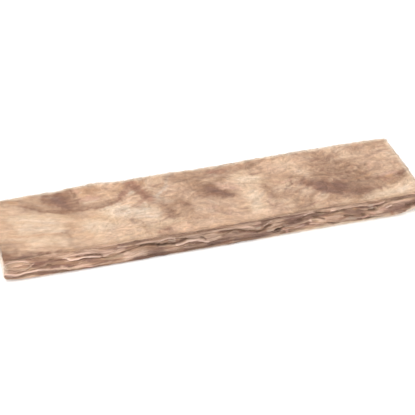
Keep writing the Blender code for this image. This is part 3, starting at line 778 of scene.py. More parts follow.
# Loose fibres by kind: name, first and last ring that they grow from, how many, whether one point
# may grow several, lengths, radii, how high they rise, how bleached they are, whether they run
# along the layers, and a seed
SIDE_BOTTOM_RING = TOP_EDGE_RINGS + SIDE_RINGS - 1
FINE_RADII = (0.00016, 0.00034)
LOW_RISES = (0.0005, 0.0030)
LOOSE_FIBRES = (
    ("top_strands", 0, 0, 9000, False,
     (0.020, 0.060), FINE_RADII, LOW_RISES, LYING_BLEACH, False, 6),
    ("side_strands", TOP_EDGE_RINGS + 1, SIDE_BOTTOM_RING, 9000, False,
     (0.015, 0.050), FINE_RADII, LOW_RISES, LYING_BLEACH, True, 7),
    ("edge_strands", 1, TOP_EDGE_RINGS + 2, 9400, True,
     (0.014, 0.040), (0.00018, 0.00036), (0.003, 0.012), EDGE_BLEACH, True, 8),
    ("layer_strands", TOP_EDGE_RINGS + 4, SIDE_BOTTOM_RING, 6500, False,
     (0.030, 0.090), (0.00026, 0.00052), (0.0004, 0.0022), LYING_BLEACH, True, 9),
)
ROOT_SEED = 5
STRAND_RINGS = 4
STRAND_SIDES = 3

# Every loose fibre: how far its root is moved and sunk, the share of it behind its root, how far
# it turns off the layers or off the lie of the fibres, its curl, how much of an arch it makes,
# and its tip's thickness
ROOT_SCATTER = 0.002
ROOT_DEPTH = 0.0006
BEHIND_ROOT = 0.3
LAYER_STRAND_TURN = 0.28
TOP_STRAND_TURN = 0.45
STRAND_CURL = 0.25
STRAND_ARCHES = (0.55, 1.0)
STRAND_TIP = 0.35

# How high, how low and how far out over the long sides a loose fibre may reach, and how much that
# varies
HIGHEST_STRAND = 0.1530
HIGHEST_SPREAD = 0.004
LOWEST_STRAND = 0.0008
FARTHEST_STRAND = 0.0265
FARTHEST_SPREAD = 0.006

# How much paler than the wool a loose fibre is
STRAND_TINT = 1.16
STRAND_TINT_SPREAD = 0.10
STRAND_TINT_RANGE = (0.85, 1.5)

# A side daub of one of these narrow colours is a lip, painted pale as highlight, or a hollow, painted dark
# as shade
DAUB_COLOURS_OUT = (SHELL_HIGHLIGHT, FAWN, PINK)
DAUB_COLOURS_IN = (UMBER, PIT_SHADE)

# Wisps of the wool's finish: the way they run, as an angle off the pad's length, and how fine
# they are along it, across it and in height
LONG_WISPS = (0.22, (10.0, 33.0, 30.0))
CROSS_WISPS = (1.15, (20.0, 37.0, 30.0))
FINE_WISPS = (-0.45, (48.0, 88.0, 60.0))
LEVEL_WISPS = (0.34, (16.0, 64.0, 60.0))
THREADS = (0.60, (100.0, 430.0, 200.0))
WISP_GRAIN = (1.0, 3.0, 0.6)

# Noises of the finish: scale, detail, roughness and distortion
DRIFT_NOISE = (5.5, 3.0, 0.55)
TUFT_NOISE = (22.0, 2.0, 0.50, 1.5)
GRAIN_NOISE = (150.0, 3.0, 0.7)
WISP_PATCH_NOISE = (6.0, 1.0)
WARMTH_NOISE = (9.0, 2.0)
LAMINA_NOISE = (1.0, 3.0, 0.60, 0.3)
LAYER_HUE_NOISE = (1.0, 2.0)
LEAF_NOISE = (1.0, 2.0, 0.60)

# How fine the layers, their hues and the thinnest leaves are along the cut sides, and in height
LAMINA_FINENESS = (8.0, 8.0, 150.0)
LAYER_HUE_FINENESS = (9.0, 9.0, 210.0)
LEAF_FINENESS = (20.0, 20.0, 700.0)

# How far the wisps are pushed about
DRIFT = (0.30, 0.30, 0.04)
NOISE_MIDDLE = 0.5

# Bands along the pad, as start and end, and the value at each: how much the wisps swirl, how calm
# and level they lie at the left end, and how lively the finest ones are to the right
SWIRLY_BAND = (-0.95, -0.45, 0.25, 1.0)
CALM_BAND = (-0.90, -0.50, 1.0, 0.0)
LIVELY_BAND = (0.10, 0.80, 1.0, 1.6)
CROSS_WISPS_BAND = (0.40, 0.60, 1.0, 0.0)

# Single hairs, dark and pale: the noise level that one follows and how wide it is, and how many
# show when calm
DARK_HAIR = (0.47, 0.022)
PALE_HAIR = (0.55, 0.030)
HAIRS_WHEN_CALM = 0.4

# How much each changes the tone of the top and of the cut sides, and its relief
TUFT_TONE = 0.38
STREAK_TONE = 0.85
WISP_TONE = 0.60
THREAD_TONE = 0.46
GRAIN_TONE = 0.34
HAIR_TONE = 0.10
CALM_TONE = 0.50
LAMINA_TONE = 1.20
LEAF_TONE = 0.75
CUT_GRAIN_TONE = 0.20
RED_WARMTH = 0.07
BLUE_WARMTH = 0.16
GREEN_LAYER_HUE = 0.16
TUFT_BUMP = 0.4
STREAK_BUMP = 0.6
WISP_BUMP = 0.4
THREAD_BUMP = 0.12
LAMINA_BUMP = 0.7
LEAF_BUMP = 0.40
GRAIN_BUMP = 0.06
HAIR_BUMP = 0.08
CALM_BUMP = 0.40
BUMP_STRENGTH = 0.6
BUMP_DEPTH = 0.005

# The wool's and the single fibres' surface
WOOL_ROUGHNESS = 0.86
WOOL_ROUGHNESS_SPREAD = 0.12
WOOL_SHINE = 0.15
WOOL_SHEEN = 0.10
WOOL_SHEEN_ROUGHNESS = 0.6
WOOL_SHEEN_TINT = (1.0, 0.90, 0.78, 1.0)
FIBRE_ROUGHNESS = 0.6
FIBRE_SHINE = 0.3

# Numbers of the colour sockets on Blender's Mix node
MIX_A = 6
MIX_B = 7
MIX_RESULT = 2

# A loose fibre's cell in its map: how much of it a face fills, and how the face is turned in it
CELL_FILL = 0.40
CELL_TURN = 0.125

# A direction that no fibre runs in, and lengths too short to divide by
NO_FIBRE_DIRECTION = (0.31, 0.17, 0.93)
SHORTEST_HEADING = 1e-6
NEARLY_NOTHING = 1e-9


def linear(colour):
    """An 8-bit sRGB colour as the linear one that a shader takes."""
    share = np.asarray(colour, float) / 255
    return np.where(share <= 0.04045, share / 12.92, ((share + 0.055) / 1.055) ** 2.4)


def wool(colour):
    return linear(colour) * WOOL_REFLECTS


def eased(x):
    """0 below 0, 1 above 1, and a soft S between."""
    x = np.clip(x, 0, 1)
    return x * x * (3 - 2 * x)


def ridge(away, width):
    """1 on a line, and fading out to both sides of it."""
    return np.exp(-np.square(away / width))


def cloud(places, size, octaves, seed, number=0):
    """Soft random values, about -1 to 1, that change over about size metres. number picks one of a row."""
    moved = np.asarray(places, float) / np.asarray(size, float)
    moved = moved + CLOUD_SEED_STEP * (seed + number) + CLOUD_START
    return np.array([noise.fractal(Vector(p), CLOUD_WEAKENS, CLOUD_SHRINKS, octaves) for p in moved])


def distance_to_path(u, v, path):
    """How far each place (u, v) lies from a path of straight pieces, all in metres."""
    nearest = np.full(len(u), np.inf)
    for (u0, v0), (u1, v1) in zip(path[:-1], path[1:]):
        du, dv = u1 - u0, v1 - v0
        share = np.clip(((u - u0) * du + (v - v0) * dv) / (du * du + dv * dv), 0, 1)
        nearest = np.minimum(nearest, np.hypot(u - u0 - share * du, v - v0 - share * dv))
    return nearest


def daub_cover(u, v, path, half_width, softness):
    """How much a daub covers each place: 1 in its middle, fading out past its half width."""
    return 1 - eased((distance_to_path(u, v, path) / half_width - 1 + softness / 2) / softness)


def plan_point(x, y, inset):
    """Points of the full rectangle, carried to the outline with round corners that lies inset in it."""
    half_x = LENGTH / 2 - inset
    half_y = WIDTH / 2 - inset
    near_radius = np.where(x < 0, NEAR_LEFT_CORNER, NEAR_RIGHT_CORNER)
    radius = np.maximum(np.where(y < 0, near_radius, FAR_CORNERS) - inset, SHARPEST_CORNER)
    x = x * half_x / (LENGTH / 2)
    y = y * half_y / (WIDTH / 2)
    past_x = np.abs(x) - (half_x - radius)
    past_y = np.abs(y) - (half_y - radius)
    in_corner = (past_x > 0) & (past_y > 0)
    far = np.maximum(np.hypot(past_x, past_y), NEARLY_NOTHING)
    pull = np.maximum(past_x, past_y) / far
    corner_x = np.copysign(half_x - radius + past_x * pull, x)
    corner_y = np.copysign(half_y - radius + past_y * pull, y)
    return np.where(in_corner, corner_x, x), np.where(in_corner, corner_y, y)


def distance_round(x, y):
    """How far round the rectangle each border point lies, from the near left corner."""
    half_x, half_y = LENGTH / 2, WIDTH / 2
    to_sides = np.stack([half_y + y, half_x - x, half_y - y, half_x + x])
    ways = np.stack([
        half_x + x,
        LENGTH + half_y + y,
        LENGTH + WIDTH + half_x - x,
        2 * LENGTH + WIDTH + half_y - y,
    ])
    return np.take_along_axis(ways, to_sides.argmin(0)[None], 0)[0]


def near_side_x(around):
    """Place along the pad for each distance round. It runs on past the left corner, onto the end."""
    return np.where(around > LENGTH + WIDTH, around - PERIMETER, around) - LENGTH / 2


def near_share(around):
    """1 on the near side, fading out past its two corners."""
    past_right = np.clip(around - LENGTH, 0, None)
    past_left = PERIMETER - around
    return 1 - eased(np.minimum(past_right, past_left) / CORNER_BLEND)


def round_the_pad(around, height=0.0):
    """Places on a drum as long round as the pad, so that what is drawn on it meets itself smoothly."""
    turn = around / RING_RADIUS
    return np.stack([RING_RADIUS * np.cos(turn), RING_RADIUS * np.sin(turn), height + 0 * turn], -1)


def on_sheet(x, y):
    """Places on a level sheet."""
    return np.stack([x, y, np.zeros(len(x))], -1)


def drawn(points, x):
    """A drawn line at x, with its bends softened."""
    places, values = zip(*points)
    return sum(np.interp(x + shift, places, values) for shift in BEND_SHIFTS) / len(BEND_SHIFTS)


def paint(colours, colour, cover):
    """Lays a colour over each point's own, as thickly as cover says."""
    cover = cover[:, None]
    return colours * (1 - cover) + wool(colour) * cover


def cad_top_heights(x, y):
    """Heights of the frame's own top face under each place."""
    tree = BVHTree.FromObject(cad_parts[PAD_NODE], bpy.context.evaluated_depsgraph_get())
    above = THICKNESS + CLEAR_ABOVE
    down = Vector((0, 0, -1))
    hits = [tree.ray_cast(Vector((a, b, above)), down)[0] for a, b in zip(x, y)]
    return np.array([hit.z if hit else THICKNESS for hit in hits])


def hidden_side_daubs():
    """Lips and hollows for the right end, the far side and the left end, in distance round and height, with
    painted highlight on the lips and painted shade in the hollows.
    """
    chance = np.random.default_rng(HIDDEN_DAUB_SEED)
    daubs = []
    for _ in range(HIDDEN_SIDE_DAUBS):
        colour = HIDDEN_DAUB_COLOURS[chance.integers(len(HIDDEN_DAUB_COLOURS))]
        long = chance.uniform(*HIDDEN_DAUB_LENGTHS)
        start = chance.uniform(LENGTH, PERIMETER - long)
        height = chance.uniform(*HIDDEN_DAUB_STARTS)
        rise = chance.normal(0, HIDDEN_DAUB_WAVER, HIDDEN_DAUB_STEPS + 1)
        heights = np.clip(height + rise, *HIDDEN_DAUB_HEIGHTS)
        path = [(start + long * step / HIDDEN_DAUB_STEPS, z) for step, z in enumerate(heights)]
        half_width = chance.uniform(*HIDDEN_DAUB_WIDTHS)
        daubs.append((colour, path, half_width, chance.uniform(*HIDDEN_DAUB_STRENGTHS)))
    return daubs


def side_daubs():
    """Every daub on the cut sides, in distance round the pad and height."""
    near = [
        (colour, [(x + LENGTH / 2, z) for x, z in path], half_width, strength)
        for colour, path, half_width, strength in NEAR_SIDE_DAUBS
    ]
    return near + hidden_side_daubs()


def layer_lines(around, top):
    """Heights where the layers meet at each place round the sides, from the bottom edge to the top edge."""
    near = near_share(around)
    x = near_side_x(around)
    place = round_the_pad(around)
    lines = [np.full(len(around), BOTTOM_EDGE_RADIUS)]
    hidden_lines = zip(NEAR_LAYER_LINES, HIDDEN_LAYER_LEVELS, HIDDEN_LAYER_SWAYS)
    for number, (points, level, sway) in enumerate(hidden_lines):
        hidden = level + sway * cloud(place, *LINE_SWAY_CLOUD, number)
        torn = LINE_TEAR * cloud(place, *LINE_TEAR_CLOUD, number)
        height = near * drawn(points, x) + (1 - near) * hidden + torn
        lines.append(np.clip(height, lines[-1] + THINNEST_LAYER, None))
    lines.append(top - TOP_EDGE_RADIUS)
    for number in reversed(range(1, len(lines) - 1)):
        lines[number] = np.minimum(lines[number], lines[number + 1] - THINNEST_LAYER)
    return np.stack(lines)


def sheet_and_skirt():
    """The pad's faces before they are shaped: a flat sheet, rings down its sides and one face under it."""
    mesh = bmesh.new()
    bmesh.ops.create_grid(mesh, x_segments=FACES_ALONG, y_segments=FACES_ACROSS, size=0.5)
    ring_of = mesh.verts.layers.int.new("ring")
    rim = [edge for edge in mesh.edges if edge.is_boundary]
    for ring in range(1, LAST_RING + 1):
        grown = bmesh.ops.extrude_edge_only(mesh, edges=rim)["geom"]
        rim = [part for part in grown if isinstance(part, bmesh.types.BMEdge) and part.is_boundary]
        for part in grown:
            if isinstance(part, bmesh.types.BMVert):
                part[ring_of] = ring
    bmesh.ops.edgeloop_fill(mesh, edges=rim)
    bmesh.ops.recalc_face_normals(mesh, faces=mesh.faces)
    places = np.array([point.co[:2] for point in mesh.verts])
    rings = np.array([point[ring_of] for point in mesh.verts])
    data = bpy.data.meshes.new("layered_wool")
    mesh.to_mesh(data)
    mesh.free()
    return data, places[:, 0] * LENGTH, places[:, 1] * WIDTH, rings


def columns_of(x, y, rings):
    """For each point below the rim, the number of the rim point above it."""
    keys = {}
    for index in np.flatnonzero(rings == 0):
        keys[(round(x[index], 5), round(y[index], 5))] = index
    return np.array([keys[(round(a, 5), round(b, 5))] for a, b in zip(x, y)])


def foot_radii(around):
    """Radius of the worn bottom edge at each place round the pad."""
    near = near_share(around)
    hidden = HIDDEN_FOOT_RADIUS + HIDDEN_FOOT_SPREAD * cloud(round_the_pad(around), *FOOT_CLOUD)
    radii = near * drawn(NEAR_FOOT_RADII, near_side_x(around)) + (1 - near) * hidden
    return np.clip(radii, *FOOT_RADIUS_RANGE)


def swelled(x, y):
    """Places near the far side and the two ends, carried outward by their swells."""
    at_far = eased((y - WIDTH / 2) / SWELL_REACH + 1)
    at_right = eased((x - LENGTH / 2) / SWELL_REACH + 1)
    at_left = eased((-LENGTH / 2 - x) / SWELL_REACH + 1)
    out_x = at_right * drawn(RIGHT_SWELLS, y) - at_left * drawn(LEFT_SWELLS, y)
    return x + out_x, y + at_far * drawn(FAR_SWELLS, x)


def low_swells(around, x, z):
    """How far the lower half of the near side bulges at each place."""
    fade = eased((LOW_SWELL_TOP - z) / (LOW_SWELL_TOP - LOW_SWELL_FULL))
    return near_share(around) * drawn(NEAR_LOW_SWELLS, x) * fade


def ring_section(rings, top, foot):
    """Inset and height of each ring: a soft top edge, the cut side and a worn bottom edge."""
    low_start = TOP_EDGE_RINGS + SIDE_RINGS
    top_turn = np.clip(rings / TOP_EDGE_RINGS, 0, 1) * math.pi / 2
    low_turn = np.clip((rings - low_start) / BOTTOM_EDGE_RINGS, 0, 1) * math.pi / 2
    down = np.clip((rings - TOP_EDGE_RINGS) / SIDE_RINGS, 0, 1)
    inset = TOP_EDGE_RADIUS * (1 - np.sin(top_turn)) + foot * (1 - np.cos(low_turn))
    edge_top = top - TOP_EDGE_RADIUS
    height = edge_top + (foot - edge_top) * down
    height = np.where(rings < TOP_EDGE_RINGS, edge_top + TOP_EDGE_RADIUS * np.cos(top_turn), height)
    height = np.where(rings > low_start, foot * (1 - np.sin(low_turn)), height)
    return inset, height


def top_heights(plan_x, plan_y):
    """The top face: the frame's own swells, the lie of the two long edges, and tufts and folds."""
    flat = on_sheet(plan_x, plan_y)
    heights = cad_top_heights(plan_x, plan_y)
    near = 1 - eased((plan_y + WIDTH / 2) / EDGE_REACH)
    far = 1 - eased((WIDTH / 2 - plan_y) / EDGE_REACH)
    heights += near * (drawn(NEAR_EDGE_HEIGHTS, plan_x) - heights)
    heights += far * (drawn(FAR_EDGE_HEIGHTS, plan_x) - heights)
    push_x = cloud(flat, *TUFT_PUSH_CLOUD)
    push_y = cloud(flat, *TUFT_PUSH_CLOUD, 1)
    pushed = flat + TUFT_PUSH * on_sheet(push_x, push_y)
    tufts = TUFT_HEIGHT * cloud(flat, *TUFT_CLOUD) + TUFT_HEIGHT * cloud(pushed, *SMALL_TUFT_CLOUD)
    folds = FOLD_DEPTH * eased(1 - np.abs(cloud(pushed, *FOLD_CLOUD)) / FOLD_WIDTH)
    return heights + tufts - folds * eased(0.5 + cloud(flat, *FOLDED_CLOUD)) - TOP_SETTLES


def cut_wool_colours(layered, bands, laminae, lumps):
    """The cut wool before its lines and daubs: thin layers, reddish to olive and pale to mauve."""
    hue = cloud(layered, *SIDE_HUE_CLOUD)
    looks = (bands, laminae, cloud(layered, *BLOTCH_CLOUD), lumps)
    shade = sum(share * look for share, look in zip(SIDE_SHADE_SHARES, looks)) - SIDE_SHADE_SHIFT
    base = wool(BROWN) * SIDE_BROWN_SHARE + wool(TAN) * (1 - SIDE_BROWN_SHARE)
    colours = np.tile(base, (len(layered), 1))
    for values, coats in ((hue, SIDE_HUE_COATS), (shade, SIDE_SHADE_COATS)):
        for colour, contrast, strength in coats:
            colours = paint(colours, colour, strength * eased(values * contrast))
    return colours


def draw_layer_lines(around, z, lines, depth, colours):
    """The lines where two layers meet, by turns a dark hollow and a pale lip: painted shade in the hollow,
    painted highlight on the lip.
    """
    for number, strength in enumerate(LINE_STRENGTHS, 1):
        shown = eased(LINE_SHOWS + cloud(round_the_pad(around), *LINE_SHOWS_CLOUD, number))
        cover = strength * shown * ridge(z - lines[number], LINE_WIDTH)
        if number % 2:
            # Painted shade in the hollow between two layers
            colours = paint(colours, UMBER, LINE_UMBER * cover)
            depth = depth + HOLLOW_IN * LINE_HOLLOW * cover
        else:
            # Painted highlight on the lip of a layer
            colours = paint(colours, SHELL_HIGHLIGHT, LINE_SHELL * cover)
            depth = depth - LIP_OUT * LINE_LIP * cover
    return depth, colours


def draw_rim_line(around, below_rim, depth, colours):
    """Just under the top: a broken dark line of painted shade in a hollow, and a pale ragged fringe over it.
    """
    place = round_the_pad(around)
    broken = eased(0.5 + RIM_LINE_BREAKS * cloud(place, *RIM_BREAK_CLOUD))
    wander = RIM_LINE_WANDER * cloud(place, *RIM_WANDER_CLOUD)
    under_rim = ridge(below_rim - RIM_LINE_DEPTH - wander, RIM_LINE_WIDTH)
    fringe = ridge(below_rim - FRINGE_DEPTH, RIM_LINE_WIDTH)
    fringe_shows = FRINGE_LEAST + (1 - FRINGE_LEAST) * broken
    # Painted shade in the hollow under the rim
    colours = paint(colours, BROWN, RIM_LINE_STRENGTH * broken * under_rim)
    colours = paint(colours, PALE, FRINGE_STRENGTH * fringe_shows * fringe)
    return depth + RIM_LINE_HOLLOW * HOLLOW_IN * broken * under_rim, colours


def lay_side_daubs(around, z, laminae, depth, colours):
    """The daubs of the sides. A narrow one has a form too: a lip with a hollow under it, or a hollow. A
    lip's pale is painted highlight, and the hollows are painted with shade.
    """
    drum = round_the_pad(around, z)
    torn_u = around + SIDE_TEAR_ALONG * cloud(drum, *SIDE_TEAR_ALONG_CLOUD)
    torn_v = z + SIDE_TEAR_UP * cloud(drum, *SIDE_TEAR_UP_CLOUD)
    for colour, path, half_width, strength in side_daubs():
        low = min(point[0] for point in path)
        high = max(point[0] for point in path)
        reach = 3 * half_width + SIDE_DAUB_REACH
        close = np.flatnonzero((around > low - reach) & (around < high + reach))
        u, v = torn_u[close], torn_v[close]
        cover = strength * daub_cover(u, v, path, half_width, SIDE_DAUB_SOFTNESS)
        if half_width > WIDEST_LIP:
            cover *= np.clip(WIDE_DAUB_DENSITY + laminae[close], WIDE_DAUB_THINNEST, 1.0)
        if colour in DAUB_COLOURS_OUT and half_width < WIDEST_LIP:
            # A lip gets painted shadow in the hollow under it
            hollow_width = UNDER_LIP_WIDTH * half_width
            under = strength * daub_cover(u, v + UNDER_LIP, path, hollow_width, SIDE_DAUB_SOFTNESS)
            colours[close] = paint(colours[close], UMBER, UNDER_LIP_UMBER * under)
            depth[close] += UNDER_LIP_HOLLOW * HOLLOW_IN * under
        # A narrow pale daub is painted highlight on a lip, and a narrow umber or black one painted shade in
        # a hollow; wider daubs are the wool's own colour
        colours[close] = paint(colours[close], colour, cover)
        if half_width > WIDEST_LIP:
            continue
        if colour in DAUB_COLOURS_OUT:
            depth[close] -= LIP_OUT * cover
        if colour in DAUB_COLOURS_IN:
            depth[close] += HOLLOW_IN * cover
    return depth, colours


def near_side_tones(around, z, lumps, colours):
    """Light and dark along the near side, its darker foot, and the pale skin at its bottom edge."""
    near = near_share(around)
    x = near_side_x(around)
    colours = colours * (1 + near * (drawn(NEAR_SIDE_TONES, x) - 1))[:, None]
    from_left = eased((x - DARK_FOOT_FROM) / DARK_FOOT_FADE)
    foot = near * from_left * eased((DARK_FOOT_HEIGHT - z) / DARK_FOOT_RISE)
    colours = colours * (1 - DARK_FOOT * foot[:, None])
    skin_top = drawn(PALE_SKIN_HEIGHTS, x) + SKIN_TEAR * lumps
    skin = near * eased((skin_top - z) / SKIN_FADE + 0.5)
    colours = paint(colours, PALE, SKIN_STRENGTH * skin)
    return paint(colours, NEAR_WHITE, SKIN_BLEACH * skin * eased((x - SKIN_BLEACH_FROM) / SKIN_BLEACH_FADE))


def light_left_end(around, bands, laminae, colours):
    """The left end's wool, painted paler and lighter towards the near corner: painted light."""
    to_corner = (around - (PERIMETER - LEFT_END_PALE)) / LEFT_END_PALE
    torn = LEFT_END_BAND_TEAR * bands + LEFT_END_LAMINA_TEAR * laminae
    end_light = eased(LEFT_END_ONSET * to_corner + torn - LEFT_END_SHIFT)
    lift = (1 + LEFT_END_LIFT * end_light)[:, None]
    return paint(colours, NEAR_WHITE, LEFT_END_STRENGTH * end_light) * lift


def side_looks(around, z, lines):
    """Depth, colour and layer coordinate of points on the cut sides, from the layer lines at each point."""
    layer = np.clip((z - lines[:-1]) / np.diff(lines, axis=0), 0, 1).sum(0)
    mean_thickness = THICKNESS / (len(lines) - 1)
    layered = round_the_pad(around, layer * mean_thickness)
    lumps = cloud(round_the_pad(around, z), *LUMP_CLOUD)
    laminae = cloud(layered, *LAMINA_CLOUD)
    bands = cloud(layered, *BAND_CLOUD)
    depth = SIDE_SET_BACK - LAMINA_RELIEF * laminae + LUMP_RELIEF * lumps - BAND_RELIEF * bands
    colours = cut_wool_colours(layered, bands, laminae, lumps)
    depth, colours = draw_layer_lines(around, z, lines, depth, colours)
    depth, colours = draw_rim_line(around, lines[-1] + TOP_EDGE_RADIUS - z, depth, colours)
    depth, colours = lay_side_daubs(around, z, laminae, depth, colours)
    colours = near_side_tones(around, z, lumps, colours)
    # The left end is painted paler and lighter towards the near corner: painted light
    colours = light_left_end(around, bands, laminae, colours)
    # The whole cut side is painted lighter here: painted light that undoes its shade
    return depth, colours * SIDE_LIFT, layered


def torn_rim(around):
    """How far the top edge tears and sways at each place round the pad."""
    edge = round_the_pad(around)
    return EDGE_TEAR * cloud(edge, *EDGE_TEAR_CLOUD) + EDGE_SWAY * cloud(edge, *EDGE_SWAY_CLOUD)


def rim_light(around, rings):
    """Painted light on the turn of the top edge, lifting its shade there, more of it away from the near
    side.
    """
    lift = RIM_LIFT + FAR_RIM_LIFT * (1 - near_share(around))
    return (1 + (lift * ridge(rings - TOP_EDGE_RINGS + 1, RIM_LIFT_RINGS)))[:, None]


def layered_wool():
    """The pad: its top follows the frame's, and its sides show the layers, their lips and hollows."""
    data, x, y, rings = sheet_and_skirt()
    top = rings == 0
    side = ~top
    last = rings == LAST_RING
    columns = columns_of(x, y, rings)
    around = distance_round(x, y)

    plan_x, plan_y = plan_point(x, y, np.full(len(x), TOP_EDGE_RADIUS))
    flat = on_sheet(plan_x, plan_y)
    heights = np.empty(len(x))
    heights[top] = top_heights(plan_x[top], plan_y[top])
    heights[side] = heights[columns[side]]

    rim = np.unique(columns[side])
    lines = np.zeros((len(NEAR_LAYER_LINES) + 2, len(x)))
    lines[:, rim] = layer_lines(around[rim], heights[rim])
    edge = np.zeros(len(x))
    edge[rim] = torn_rim(around[rim])

    inset, z = ring_section(rings, heights, foot_radii(around))
    depth, side_colours, layered = side_looks(around[side], z[side], lines[:, columns[side]])
    inward = np.zeros(len(x))
    inward[side] = np.clip(depth, *SIDE_DEPTH_RANGE)
    window = eased(rings / TOP_EDGE_RINGS) * eased((LAST_RING - rings) / (BOTTOM_EDGE_RINGS + 3))
    near_top = ridge(rings - TOP_EDGE_RINGS, EDGE_TEAR_RINGS)
    bulge = low_swells(around[columns], x[columns], z) * window
    x, y = plan_point(x, y, inset + inward * window + edge[columns] * near_top - bulge)
    x, y = swelled(x, y)

    colours = np.empty((len(x), 3))
    colours[top] = top_face_colours(flat[top])
    turned = eased((rings[side] - TURN_START) / TURN_RINGS)[:, None]
    side_colours = colours[columns[side]] * (1 - turned) + side_colours * turned
    # Painted light on the turn of the top edge
    colours[side] = side_colours * rim_light(around[side], rings[side])
    colours[last] = wool(BROWN)
    all_layers = flat
    all_layers[side] = layered
    all_layers[last] = 0.0

    data.vertices.foreach_set("co", np.stack([x, y, z], -1).astype(np.float32).ravel())
    put_colours(data, colours)
    put_vectors(data, "layers", all_layers)
    put_values(data, "cut", eased(rings / (TOP_EDGE_RINGS + 2)))
    data.update()
    data.shade_smooth()
    pad = bpy.data.objects.new("layered_wool", data)
    bpy.context.scene.collection.objects.link(pad)
    return pad, rings, colours


def fibre_angles(places):
    """The way the fibres lie at each place of the top, as an angle off the pad's length."""
    on_left = eased((LEFT_FIBRES_END - places[:, 0]) / LEFT_FIBRES_FADE)
    swirls = RIGHT_FIBRE_ANGLE + SWIRL_TURN * cloud(places * (1, 1, 0), *SWIRL_TURN_CLOUD)
    return on_left * LEFT_FIBRE_ANGLE + (1 - LEFT_FIBRES_CALM * on_left) * swirls


def comb_tracks(flat):
    """The places passed in walking both ways from each point along the lie of the fibres."""
    tracks = [flat]
    for sense in (-1, 1):
        place = flat
        for _ in range(COMB_STEPS):
            angle = fibre_angles(place)
            place = place + sense * COMB_STEP * on_sheet(np.cos(angle), np.sin(angle))
            tracks.append(place)
    return tracks


def combed(tracks, size, octaves, seed):
    """Soft random values drawn out along the lie of the fibres, with a spread of 1."""
    values = sum(cloud(places, size, octaves, seed) for places in tracks)
    return (values - values.mean()) / values.std()


def stray_curls():
    """The scattered strokes, as daubs: browner and denser to the right."""
    chance = np.random.default_rng(STRAY_CURL_SEED)
    curls = []
    for _ in range(STRAY_CURLS):
        x = chance.uniform(-LENGTH / 2, LENGTH / 2)
        y = chance.uniform(-WIDTH / 2, WIDTH / 2)
        heading = float(fibre_angles(np.array([[x, y, 0.0]]))[0]) + chance.normal(0, STRAY_CURL_TURN)
        bend = chance.normal(0, STRAY_CURL_BEND)
        step = chance.uniform(*STRAY_CURL_LENGTHS) / STRAY_CURL_STEPS
        path = [(x, y)]
        for _ in range(STRAY_CURL_STEPS):
            x, y = x + step * math.cos(heading), y + step * math.sin(heading)
            heading += bend / STRAY_CURL_STEPS
            path.append((x, y))
        dark_share = DARK_CURL_SHARE + DARK_CURL_RISE * eased((x - DARK_CURLS_FROM) / DARK_CURLS_FADE)
        kinds = DARK_CURLS if chance.random() < dark_share else PALE_CURLS
        colour = kinds[chance.integers(len(kinds))]
        half_width = chance.uniform(*STRAY_CURL_WIDTHS)
        curls.append((colour, path, half_width, chance.uniform(*STRAY_CURL_STRENGTHS)))
    return curls


def lay_stray_curls(flat, colours):
    for colour, path, half_width, strength in stray_curls():
        reach = STRAY_CURL_REACH * half_width
        low = np.min(path, 0) - reach
        high = np.max(path, 0) + reach
        close = np.flatnonzero(((flat[:, :2] > low) & (flat[:, :2] < high)).all(1))
        cover = daub_cover(flat[close, 0], flat[close, 1], path, half_width, STRAY_CURL_SOFTNESS)
        colours[close] = paint(colours[close], colour, strength * cover)
    return colours


def top_face_colours(flat):
    """Cream and brown coats over the whole top, the daubs over them, and the streaks of combed fibres."""
    tracks = comb_tracks(flat)
    mottle = cloud(flat, *MOTTLE_CLOUD)
    streaks = STREAK_SHARE * combed(tracks, *STREAKS)
    colours = np.tile(wool(TAN), (len(flat), 1))
    for colour, strength, start, by_mottle, by_streaks in TOP_COATS:
        cover = eased(start + by_mottle * mottle + by_streaks * streaks)
        colours = paint(colours, colour, strength * cover)
    colours = lay_stray_curls(flat, colours)

    torn_u = flat[:, 0] + TOP_TEAR * cloud(flat, *TEAR_X_CLOUD)
    torn_u = torn_u + TOP_FINE_TEAR * cloud(flat, *FINE_TEAR_CLOUD)
    torn_v = flat[:, 1] + TOP_TEAR * cloud(flat, *TEAR_Y_CLOUD)
    torn_v = torn_v + TOP_FINE_TEAR * cloud(flat, *FINE_TEAR_CLOUD, 1)
    torn = on_sheet(torn_u, torn_v)
    density = DAUB_DENSITY + DAUB_DENSITY_SPREAD * cloud(flat, *DENSITY_CLOUD)
    density = density + DAUB_DENSITY_STREAKS * combed(tracks, *DENSITY_STREAKS)
    for colour, path, half_width, strength in TOP_DAUBS:
        softness = DAUB_SOFTNESS if half_width > SMALL_DAUB else SMALL_DAUB_SOFTNESS
        cover = daub_cover(torn_u, torn_v, path, half_width, softness)
        colours = paint(colours, colour, np.clip(strength * cover * density, 0, 1))

    spots = eased(SPOTS_SHOW + SPOT_CONTRAST * cloud(torn, *SPOT_CLOUD))
    mottled = daub_cover(torn_u, torn_v, MOTTLED_ZONE, MOTTLED_HALF_WIDTH, DAUB_SOFTNESS)
    colours = paint(colours, REDDISH, MOTTLED_STRENGTH * spots * mottled)
    # Pale rims along the far side and right end: partly bleached wool, partly painted light through the
    # frayed edge
    from_rim = np.minimum(WIDTH / 2 - flat[:, 1], LENGTH / 2 - flat[:, 0]) - TOP_EDGE_RADIUS
    rim_width = PALE_RIM_WIDTH * (1 + PALE_RIM_SPREAD * cloud(flat, *PALE_RIM_CLOUD))
    colours = paint(colours, PALE, PALE_RIM_STRENGTH * eased(1 - from_rim / rim_width))
    swirl = cloud(flat + SWIRL_PUSH * torn, *LOOSE_SWIRL_CLOUD)
    locks = combed(tracks, *LOCKS)
    warmth = combed(tracks, *WARM_STREAKS)[:, None] * WARM_STREAK_TINT
    return colours * (1 + SWIRL_TONE * swirl + LOCK_TONE * locks)[:, None] * (1 + warmth)


